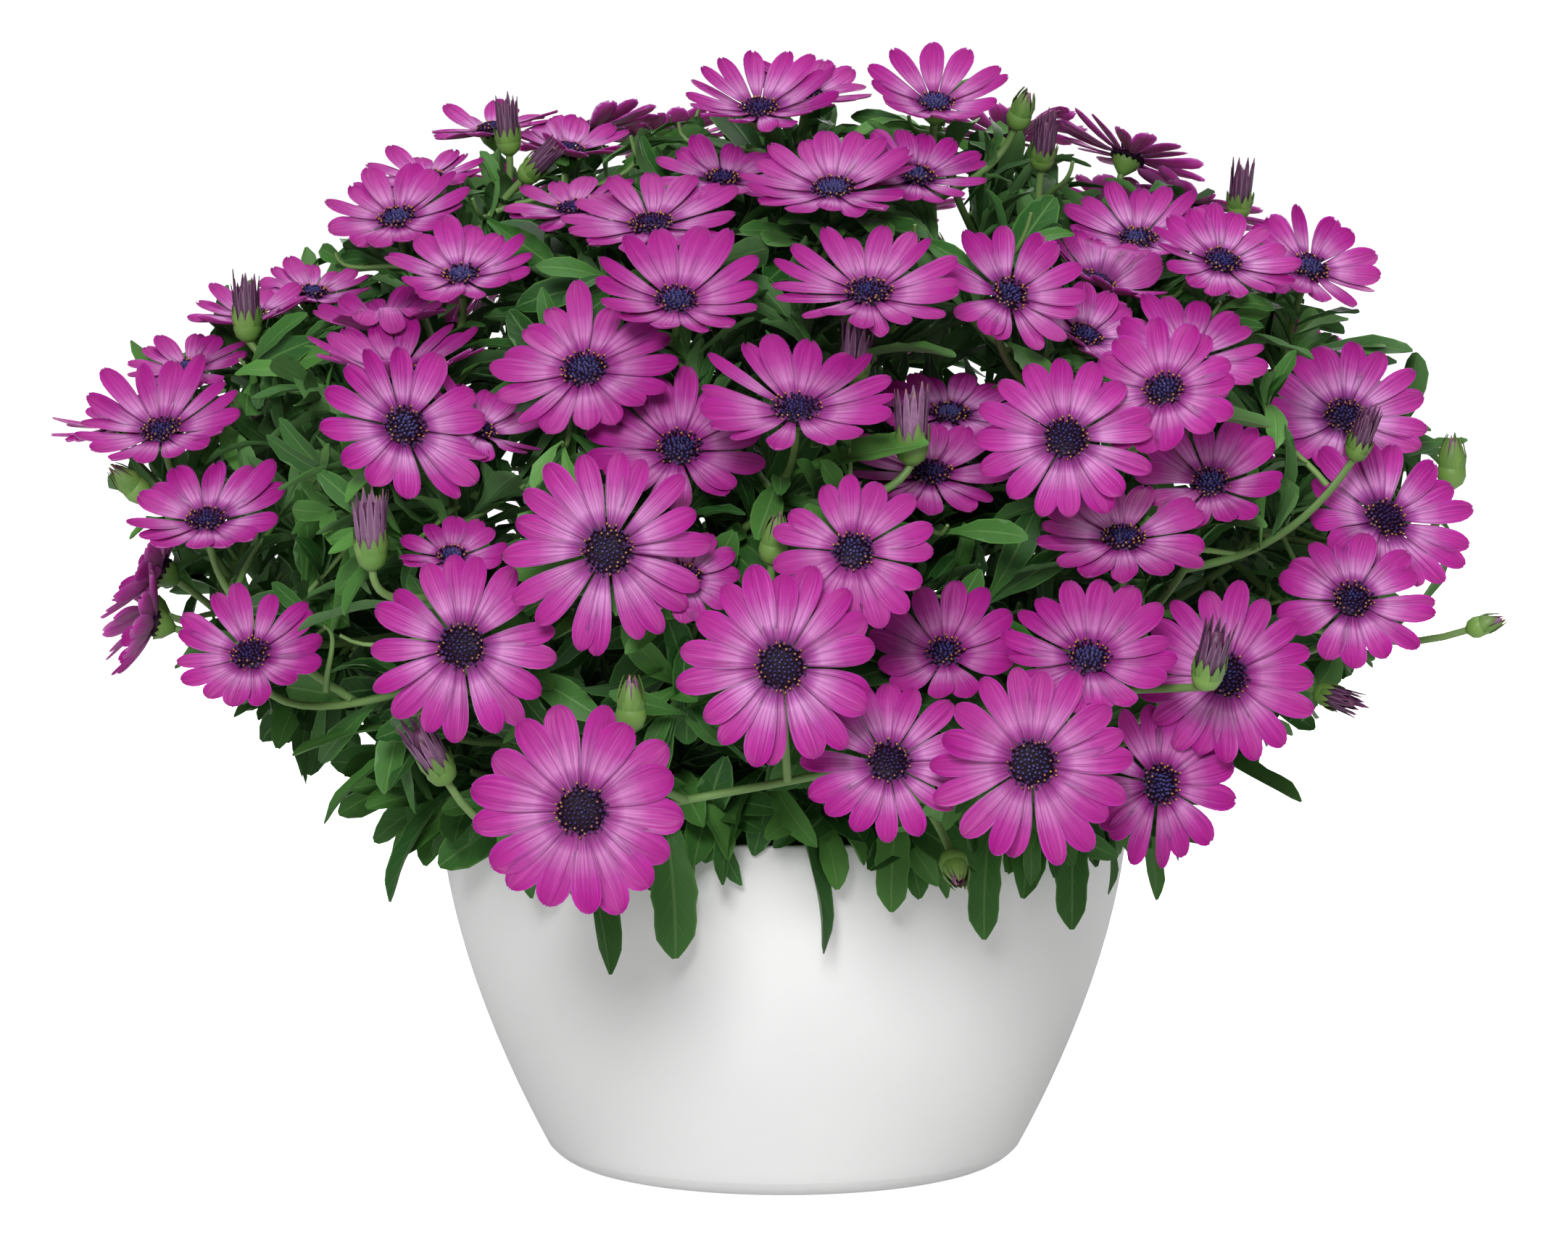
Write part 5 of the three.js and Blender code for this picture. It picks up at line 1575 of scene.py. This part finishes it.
def make_leafy_stems(finishes):
    """A piece for each crown with all that grows from it."""
    shoots = lay_shoots()
    fill = lay_fill_leaves(shoots)
    for leaf in leaves:
        leaf.curl = LAID_LEAF_CURL
    for sector in range(SECTORS):
        maker = Maker()
        rng = np.random.RandomState(900 + sector)
        add_crown(maker, sector)
        for stem in stems:
            if stem.sector == sector:
                add_stem(maker, stem, rng)
        for curve, place in shoots:
            if place == sector:
                add_shoot(maker, curve, rng.uniform(0, 1))
        for bud in buds:
            if bud.sector == sector:
                add_bud(maker, bud, rng)
        for leaf in leaves:
            if leaf.sector == sector:
                add_leaf(maker, leaf, LEAF_FINE, rng, rng.uniform(0.3, 1))
        for leaf, place, depth in fill:
            if place == sector:
                # Painted shade: fill leaves deeper inside the dome get a darker tone, down to near black.
                tone = np.clip((depth - 0.56) * 2.1 + rng.uniform(-0.3, 0.3), 0, 1)
                add_leaf(maker, leaf, fill_grid(leaf, depth), rng, tone)
        name = f"leafy_stem_{sector + 1}"
        finish_piece(maker.mesh(f"{name}_greens", finishes), name)


# ---------------------------------------------------------------- pot and soil


def lathe_piece(name, profile, sides, finish, node, rework=None):
    """A closed body turned round the upright axis. rework moves points of its rings."""
    angles = 2 * np.pi * np.arange(sides) / sides
    profile = np.array(profile, float)
    reach, up = profile[:, :1], profile[:, 1:]
    rings = np.stack([reach * np.cos(angles), reach * np.sin(angles), up * np.ones(sides)], -1)
    if rework is not None:
        rework(rings)
    maker = Maker()
    maker.rings(rings, 0, along=profile[:, 1] / POT_HEIGHT)
    finish_piece(maker.mesh(name, [finish]), node)


def corner(before, turn, after, radius, steps=6):
    """Points that round a profile's corner."""
    before, turn, after = (np.array(point, float) for point in (before, turn, after))
    start = turn + unit(before - turn) * radius
    end = turn + unit(after - turn) * radius
    t = (np.arange(steps + 1) / steps)[:, None]
    return ((1 - t) ** 2 * start + 2 * t * (1 - t) * turn + t**2 * end).tolist()


POT_SIDES = 128
FOOT_RECESS = 1.2
FOOT_WIDTH = 5
BASE_ROUND = 7
RIM_ROUND = 1.4
CENTRE_RING = 30  # radius of the flat middle of the floor and of the underside


def make_pot(finish):
    """The bowl's section from under its middle, round its foot, up its side, over its rim and down."""
    levels = np.concatenate([np.linspace(7, 30, 7), np.linspace(38, POT_HEIGHT - 8, 10)])
    outer = [[float(pot_radius(up)), up] for up in levels]
    inner = [[reach - POT_WALL, up] for reach, up in outer[::-1]]
    rim = [POT_RIM, POT_HEIGHT]
    rim_in = [POT_RIM - POT_WALL, POT_HEIGHT]
    profile = [[CENTRE_RING, FOOT_RECESS], [POT_FOOT - FOOT_WIDTH - 1, FOOT_RECESS]]
    profile += [[POT_FOOT - FOOT_WIDTH, 0], [POT_FOOT - 1.5, 0]]
    profile += corner([POT_FOOT, 0], [POT_BASE - 1.5, FOOT_RECESS], outer[0], BASE_ROUND)
    profile += outer
    profile += corner(outer[-1], rim, rim_in, RIM_ROUND, 4)
    profile += corner(rim, rim_in, inner[0], RIM_ROUND, 4)
    profile += inner
    profile += [[POT_BASE - POT_WALL - 3, POT_FLOOR], [CENTRE_RING, POT_FLOOR]]
    lathe_piece("bowl_pot", profile, POT_SIDES, finish, "pot")


SOIL_SIDES = 112
CRUMB_SCALE = 0.045  # per mm
CRUMB_RISE = 3.4


def make_soil(finish):
    """Soil that fills the pot to a low mound with a crumbly top."""
    under = [[float(pot_radius(up)) - POT_WALL - GAP, up] for up in (12, 36, 60, 84, 104)]
    edge = float(pot_radius(SOIL_TOP - 2)) - POT_WALL - GAP - 0.2
    reaches = np.linspace(edge, 3, 30)
    top = [[reach, SOIL_TOP + 3 * (1 - reach / edge)] for reach in reaches]
    profile = [[20, POT_FLOOR + GAP], [POT_BASE - POT_WALL - 4, POT_FLOOR + GAP + 0.4]] + under + top

    def crumble(rings):
        for ring in rings[len(profile) - len(top) + 1 :]:
            for point in ring:
                point[2] += CRUMB_RISE * noise.fractal(Vector(point * CRUMB_SCALE), 1.0, 2.1, 5)

    lathe_piece("potting_soil", profile, SOIL_SIDES, finish, "soil", crumble)


# ---------------------------------------------------------------- shader nodes

SEED_SPACING = 37.0  # how far apart the streaks of two petals are taken from the noise


class Nodes:
    """A node tree, with a short way to add each kind of node that the finishes use."""

    def __init__(self, tree):
        self.tree = tree

    def node(self, kind, **settings):
        node = self.tree.nodes.new(kind)
        for key, value in settings.items():
            setattr(node, key, value)
        return node

    def feed(self, socket, value):
        """Gives an input a number, a colour or another node's output."""
        if isinstance(value, bpy.types.NodeSocket):
            self.tree.links.new(value, socket)
        elif isinstance(value, tuple):
            socket.default_value = (*value, 1)
        else:
            socket.default_value = value

    def math(self, operation, *values, clamp=False):
        node = self.node("ShaderNodeMath", operation=operation, use_clamp=clamp)
        for socket, value in zip(node.inputs, values):
            self.feed(socket, value)
        return node.outputs[0]

    def times(self, first, second, clamp=False):
        return self.math("MULTIPLY", first, second, clamp=clamp)

    def minus(self, first, second, clamp=False):
        return self.math("SUBTRACT", first, second, clamp=clamp)

    def mix(self, share, first, second):
        node = self.node("ShaderNodeMix", data_type="RGBA")
        for place, value in ((0, share), (6, first), (7, second)):
            self.feed(node.inputs[place], value)
        return node.outputs[2]

    def value(self, key):
        """One of the values that the mesh carries."""
        return self.node("ShaderNodeAttribute", attribute_name=key).outputs["Fac"]

    def ramp(self, value, stops):
        """A colour ramp: stops are (place, colour)."""
        node = self.node("ShaderNodeValToRGB")
        elements = node.color_ramp.elements
        elements.remove(elements[-1])
        for n, (place, colour) in enumerate(stops):
            element = elements[0] if n == 0 else elements.new(place)
            element.position = place
            element.color = (*colour, 1)
        self.feed(node.inputs[0], value)
        return node.outputs[0]

    def stretched(self, mask, low, high, to_low=0.0, to_high=1.0):
        """A mask's range from low to high, spread from to_low to to_high."""
        node = self.node("ShaderNodeMapRange")
        for socket, value in zip(node.inputs, (mask, low, high, to_low, to_high)):
            self.feed(socket, value)
        return node.outputs[0]

    def noise(self, place, scale, detail):
        node = self.node("ShaderNodeTexNoise")
        for key, value in (("Vector", place), ("Scale", scale), ("Detail", detail)):
            self.feed(node.inputs[key], value)
        return node.outputs[0]

    def group(self, tree, **inputs):
        """The mask of a shared group. An input is called as its socket, in small letters."""
        node = self.node("ShaderNodeGroup", node_tree=tree)
        for key, value in inputs.items():
            self.feed(node.inputs[key.title()], value)
        return node.outputs["Mask"]

    def streaks(self, seed, lines, stretch):
        along = self.value("along")
        across = self.value("across")
        return self.group(STREAKS, along=along, across=across, seed=seed, lines=lines, stretch=stretch)

    def mottle(self, scale, detail=4.0):
        return self.group(MOTTLE, scale=scale, detail=detail)


class Finish(Nodes):
    """A material with one Principled surface. plain has the values that are the same all over it."""

    def __init__(self, name, plain):
        self.material = bpy.data.materials.new(name)
        self.material.use_nodes = True
        super().__init__(self.material.node_tree)
        self.surface = self.tree.nodes["Principled BSDF"]
        for key, value in plain.items():
            self.surface.inputs[key].default_value = value

    def put(self, key, socket):
        self.feed(self.surface.inputs[key], socket)

    def bump(self, height, strength, distance=0.0004):
        node = self.node("ShaderNodeBump")
        for key, value in (("Strength", strength), ("Distance", distance), ("Height", height)):
            self.feed(node.inputs[key], value)
        self.put("Normal", node.outputs[0])


def mask_group(name, inputs):
    """A group that works out one mask: its nodes, what it is given, and where its mask goes."""
    tree = bpy.data.node_groups.new(name, "ShaderNodeTree")
    for key, value in inputs.items():
        socket = tree.interface.new_socket(key, in_out="INPUT", socket_type="NodeSocketFloat")
        socket.default_value = value
    tree.interface.new_socket("Mask", in_out="OUTPUT", socket_type="NodeSocketFloat")
    given = tree.nodes.new("NodeGroupInput").outputs
    return Nodes(tree), given, tree.nodes.new("NodeGroupOutput").inputs["Mask"]


def make_streaks():
    """Fine lines that run the length of a petal or stem, as a mask from 0 to 1."""
    inputs = {"Along": 0.0, "Across": 0.0, "Seed": 0.0, "Lines": 6.0, "Stretch": 1.0}
    nodes, given, mask = mask_group("lengthwise_streaks", inputs)
    place = nodes.node("ShaderNodeCombineXYZ")
    nodes.feed(place.inputs["X"], nodes.times(given["Across"], given["Lines"]))
    nodes.feed(place.inputs["Y"], nodes.times(given["Along"], given["Stretch"]))
    nodes.feed(place.inputs["Z"], nodes.times(given["Seed"], SEED_SPACING))
    nodes.feed(mask, nodes.noise(place.outputs[0], 1.0, 3.0))
    return nodes.tree


def make_mottle():
    """Soft uneven patches over a surface, as a mask from 0 to 1."""
    nodes, given, mask = mask_group("soft_mottle", {"Scale": 60.0, "Detail": 4.0})
    place = nodes.node("ShaderNodeTexCoord").outputs["Object"]
    nodes.feed(mask, nodes.noise(place, given["Scale"], given["Detail"]))
    return nodes.tree


# ---------------------------------------------------------------- finishes


def petal_finish():
    """Violet at the disc, pale lilac, then magenta to the tip, with fine veins, painted shade along two
    grooves and painted shade at the petal edges near the disc.
    """
    petal = Finish("petal", {
        "Specular IOR Level": 0.2,
        "Subsurface Weight": 0.4,
        "Subsurface Radius": (1, 0.3, 0.8),
        "Subsurface Scale": 0.002,
    })
    along = petal.value("along")
    tone = petal.value("tone")
    across = petal.math("ABSOLUTE", petal.value("across"))
    upper = petal.ramp(along, [
        (0.0, (0.03, 0.003, 0.035)), (0.13, (0.09, 0.009, 0.1)), (0.22, (0.34, 0.07, 0.32)),
        (0.32, (0.64, 0.29, 0.59)), (0.44, (0.57, 0.21, 0.51)), (0.6, (0.46, 0.055, 0.35)),
        (0.8, (0.4, 0.013, 0.265)), (0.94, (0.33, 0.007, 0.205)), (1.0, (0.18, 0.005, 0.1)),
    ])
    lines = petal.streaks(tone, 9.0, 1.3)
    upper = petal.mix(petal.stretched(lines, 0.5, 0.72, 0.0, 0.75), upper, (0.17, 0.006, 0.12))
    pale = petal.stretched(lines, 0.46, 0.28, 0.0, 0.5)
    pale = petal.times(pale, petal.stretched(along, 0.3, 1.0, 1.0, 0.1))
    upper = petal.mix(pale, upper, (0.74, 0.37, 0.67))
    # Painted shade: the two grooves are darkened towards violet-black, as shade in their dip.
    beside = petal.math("ABSOLUTE", petal.minus(across, PETAL_GROOVES))
    groove = petal.minus(1.0, petal.times(beside, 7.0), clamp=True)
    groove = petal.times(groove, petal.stretched(along, 0.1, 0.95, 0.55, 0.15))
    upper = petal.mix(groove, upper, (0.17, 0.012, 0.15))
    # Painted shade: the petal edges are darkened near the disc, as shade between neighbouring petals.
    edge = petal.times(petal.minus(across, 0.62), 2.6, clamp=True)
    edge = petal.times(edge, petal.stretched(along, 0.15, 0.8, 0.85, 0.0))
    upper = petal.mix(edge, upper, (0.05, 0.006, 0.06))
    upper = petal.mix(petal.stretched(tone, 0.0, 1.0, 0.0, 0.5), upper, (0.29, 0.007, 0.185))
    under = petal.ramp(along, [
        (0.0, (0.16, 0.065, 0.13)), (0.35, (0.35, 0.08, 0.28)), (0.8, (0.46, 0.045, 0.34)),
        (1.0, (0.5, 0.033, 0.35)),
    ])
    under = petal.mix(petal.stretched(lines, 0.45, 0.6, 0.0, 0.6), under, (0.3, 0.17, 0.27))
    petal.put("Base Color", petal.mix(petal.value("under"), upper, under))
    petal.put("Roughness", petal.stretched(lines, 0.35, 0.65, 0.42, 0.6))
    petal.bump(lines, 0.4)
    return petal.material


def floret_finish():
    """Near black in the shade of the disc, through violet to dusty blue where florets catch light."""
    floret = Finish("disc_floret", {"Specular IOR Level": 0.12})
    colour = floret.ramp(floret.value("tone"), [
        (0.0, (0.01, 0.002, 0.01)), (0.3, (0.035, 0.004, 0.025)), (0.55, (0.028, 0.012, 0.08)),
        (0.8, (0.036, 0.038, 0.17)), (1.0, (0.085, 0.08, 0.23)),
    ])
    tip = floret.stretched(floret.value("along"), 0.55, 1.0, 0.0, 0.3)
    floret.put("Base Color", floret.mix(tip, colour, (0.09, 0.06, 0.2)))
    grain = floret.mottle(900.0)
    floret.put("Roughness", floret.stretched(grain, 0.3, 0.7, 0.45, 0.7))
    floret.bump(grain, 0.3)
    return floret.material


def pollen_finish():
    """Orange to yellow grains."""
    pollen = Finish("pollen", {"Roughness": 0.8})
    colour = pollen.mix(pollen.value("tone"), (0.55, 0.2, 0.02), (0.75, 0.42, 0.04))
    grain = pollen.mottle(2500.0)
    colour = pollen.mix(pollen.stretched(grain, 0.3, 0.7, 0.0, 0.4), colour, (0.3, 0.08, 0.02))
    pollen.put("Base Color", colour)
    pollen.bump(grain, 0.5)
    return pollen.material


def leaf_finish():
    """Painted shade: deep green inside the dome to fresh green outside, with a pale rib, side veins and a
    painted highlight along the margin.
    """
    leaf = Finish("leaf", {"Specular IOR Level": 0.18})
    along = leaf.value("along")
    tone = leaf.value("tone")
    across = leaf.math("ABSOLUTE", leaf.value("across"))
    colour = leaf.ramp(tone, [
        (0.0, (0.006, 0.022, 0.006)), (0.5, (0.022, 0.095, 0.018)), (1.0, (0.085, 0.235, 0.045)),
    ])
    patches = leaf.mottle(45.0)
    colour = leaf.mix(leaf.stretched(patches, 0.4, 0.7, 0.0, 0.4), colour, (0.045, 0.12, 0.025))
    rib = leaf.minus(1.0, leaf.times(across, 9.0), clamp=True)
    slant = leaf.minus(leaf.times(along, 8.0), leaf.times(across, 1.6))
    wave = leaf.math("ABSOLUTE", leaf.minus(leaf.math("FRACT", slant), 0.5))
    vein = leaf.minus(1.0, leaf.times(wave, 12.0), clamp=True)
    vein = leaf.times(vein, leaf.minus(1.0, across, clamp=True))
    marks = leaf.math("MAXIMUM", rib, leaf.times(vein, 0.45))
    # Painted highlight: a lighter green line along the leaf's margin, as light catching its edge.
    edge_highlight = leaf.times(leaf.minus(across, 0.86), 5.0, clamp=True)
    colour = leaf.mix(leaf.times(marks, 0.5), colour, (0.17, 0.32, 0.1))
    colour = leaf.mix(edge_highlight, colour, (0.1, 0.24, 0.05))
    under = leaf.mix(0.45, colour, (0.12, 0.24, 0.09))
    leaf.put("Base Color", leaf.mix(leaf.value("under"), colour, under))
    grain = leaf.mottle(700.0)
    leaf.put("Roughness", leaf.stretched(patches, 0.3, 0.7, 0.42, 0.62))
    leaf.bump(leaf.minus(leaf.times(grain, 0.3), marks), 0.4)
    return leaf.material


def green_finish(name, young, old, tip):
    """Stems and bracts: patchy green between young and old, with its own tint towards the tip."""
    green = Finish(name, {"Specular IOR Level": 0.4})
    tone = green.value("tone")
    patches = green.mottle(90.0)
    colour = green.mix(tone, young, old)
    colour = green.mix(green.stretched(patches, 0.35, 0.7, 0.0, 0.4), colour, young)
    colour = green.mix(green.stretched(green.value("along"), 0.55, 1.0, 0.0, 0.6), colour, tip)
    green.put("Base Color", colour)
    green.put("Roughness", green.stretched(patches, 0.3, 0.7, 0.42, 0.6))
    green.bump(green.mottle(1200.0), 0.25)
    return green.material


def folded_finish():
    """The folded petals of a bud: dark violet with paler edges, lighter where the bud is opening."""
    folded = Finish("folded_petals", {"Roughness": 0.5})
    along = folded.value("along")
    tone = folded.value("tone")
    across = folded.math("ABSOLUTE", folded.value("across"))
    stops = [(0.3, (0.06, 0.035, 0.045)), (0.7, (0.06, 0.012, 0.055)), (1.0, (0.1, 0.02, 0.07))]
    colour = folded.ramp(along, stops)
    colour = folded.mix(folded.stretched(tone, 0.2, 1.0, 0.0, 0.75), colour, (0.3, 0.13, 0.27))
    colour = folded.mix(folded.stretched(across, 0.45, 0.95, 0.0, 0.55), colour, (0.36, 0.2, 0.32))
    tip = folded.times(folded.stretched(along, 0.9, 1.0), folded.stretched(tone, 0.5, 0.9, 0.0, 0.6))
    colour = folded.mix(tip, colour, (0.5, 0.3, 0.12))
    patches = folded.mottle(500.0)
    colour = folded.mix(folded.stretched(patches, 0.4, 0.65, 0.0, 0.35), colour, (0.09, 0.03, 0.08))
    folded.put("Base Color", colour)
    folded.bump(patches, 0.3)
    return folded.material


def pot_finish():
    """Plain white plastic with the soft unevenness of a moulding."""
    plastic = Finish("white_moulded_plastic", {"Specular IOR Level": 0.45})
    patches = plastic.mottle(14.0)
    white = plastic.mix(plastic.stretched(patches, 0.3, 0.7), (0.78, 0.78, 0.78), (0.81, 0.81, 0.805))
    plastic.put("Base Color", white)
    plastic.put("Roughness", plastic.stretched(patches, 0.3, 0.7, 0.38, 0.47))
    plastic.bump(plastic.mottle(900.0, 2.0), 0.05, 0.0002)
    return plastic.material


def soil_finish():
    """Dark damp crumbs."""
    soil = Finish("potting_soil", {"Roughness": 0.95})
    crumbs = soil.mottle(260.0, 8.0)
    soil.put("Base Color", soil.ramp(crumbs, [
        (0.3, (0.006, 0.004, 0.003)), (0.5, (0.022, 0.013, 0.008)), (0.72, (0.06, 0.038, 0.022)),
    ]))
    soil.bump(crumbs, 1.0, 0.0015)
    return soil.material


STREAKS = make_streaks()
MOTTLE = make_mottle()
flower_finishes = [petal_finish(), floret_finish(), pollen_finish()]
green_finishes = [
    green_finish("stem", (0.1, 0.2, 0.05), (0.18, 0.3, 0.09), (0.13, 0.21, 0.06)),
    leaf_finish(),
    green_finish("bract", (0.07, 0.17, 0.03), (0.17, 0.3, 0.06), (0.12, 0.17, 0.05)),
    folded_finish(),
]

make_pot(pot_finish())
make_soil(soil_finish())
make_leafy_stems(green_finishes)
make_blooms(flower_finishes)

# ---------------------------------------------------------------- floor, light and camera

FLOOR_SIZE = 30.0
FLOOR_SEEN = 1.0  # how much the floor is lifted towards white where it is seen
SKY_SEEN = 1.02  # how bright the sky is where it is seen, and how much of it lights the plant
SKY_LIGHT = 0.22
LIGHTS_AIM = (0, 0, 0.2)
CAMERA_DISTANCE = 1.9
CAMERA_AIM_UP = 0.199
CAMERA_LENS = 119.3
CAMERA_SENSOR = 36


def make_floor():
    mesh = bpy.data.meshes.new("studio_floor")
    half = FLOOR_SIZE / 2
    corners = [(-half, -half, 0), (half, -half, 0), (half, half, 0), (-half, half, 0)]
    mesh.from_pydata(corners, [], [(0, 1, 2, 3)])
    floor = bpy.data.objects.new("studio_floor", mesh)
    bpy.context.scene.collection.objects.link(floor)
    white = Finish("studio_white", {
        "Roughness": 0.9,
        "Base Color": (0.9, 0.9, 0.9, 1),
        "Emission Color": (1, 1, 1, 1),
    })
    seen = white.node("ShaderNodeLightPath").outputs["Is Camera Ray"]
    white.put("Emission Strength", white.times(seen, FLOOR_SEEN))
    mesh.materials.append(white.material)


def make_sky():
    world = bpy.data.worlds.new("studio")
    bpy.context.scene.world = world
    world.use_nodes = True
    sky = Nodes(world.node_tree)
    background = world.node_tree.nodes["Background"].inputs
    background["Color"].default_value = (1, 1, 1, 1)
    seen = sky.node("ShaderNodeLightPath").outputs["Is Camera Ray"]
    sky.feed(background["Strength"], sky.math("ADD", sky.times(seen, SKY_SEEN - SKY_LIGHT), SKY_LIGHT))


def soft_light(name, place, size, watts):
    """A round soft light that shines at the middle of the plant."""
    light = bpy.data.lights.new(name, "AREA")
    light.shape = "DISK"
    light.size = size
    light.energy = watts
    lamp = bpy.data.objects.new(name, light)
    lamp.location = place
    lamp.rotation_euler = (Vector(LIGHTS_AIM) - Vector(place)).to_track_quat("-Z", "Y").to_euler()
    bpy.context.scene.collection.objects.link(lamp)


def make_camera():
    optics = bpy.data.cameras.new("camera")
    optics.lens = CAMERA_LENS
    optics.sensor_width = CAMERA_SENSOR
    camera = bpy.data.objects.new("camera", optics)
    tilt = math.radians(VIEW_ELEVATION)
    back = Vector((0, -math.cos(tilt), math.sin(tilt)))
    camera.location = Vector((0, 0, CAMERA_AIM_UP)) + back * CAMERA_DISTANCE
    camera.rotation_euler = (-back).to_track_quat("-Z", "Y").to_euler()
    bpy.context.scene.collection.objects.link(camera)
    bpy.context.scene.camera = camera


make_floor()
make_sky()
soft_light("key", (-0.25, -2.6, 1.3), 0.8, 62)
soft_light("top", (0.0, 0.3, 2.6), 1.4, 30)
soft_light("back", (0.4, 2.6, 1.0), 1.6, 30)
make_camera()
bpy.context.scene.view_settings.view_transform = "Standard"
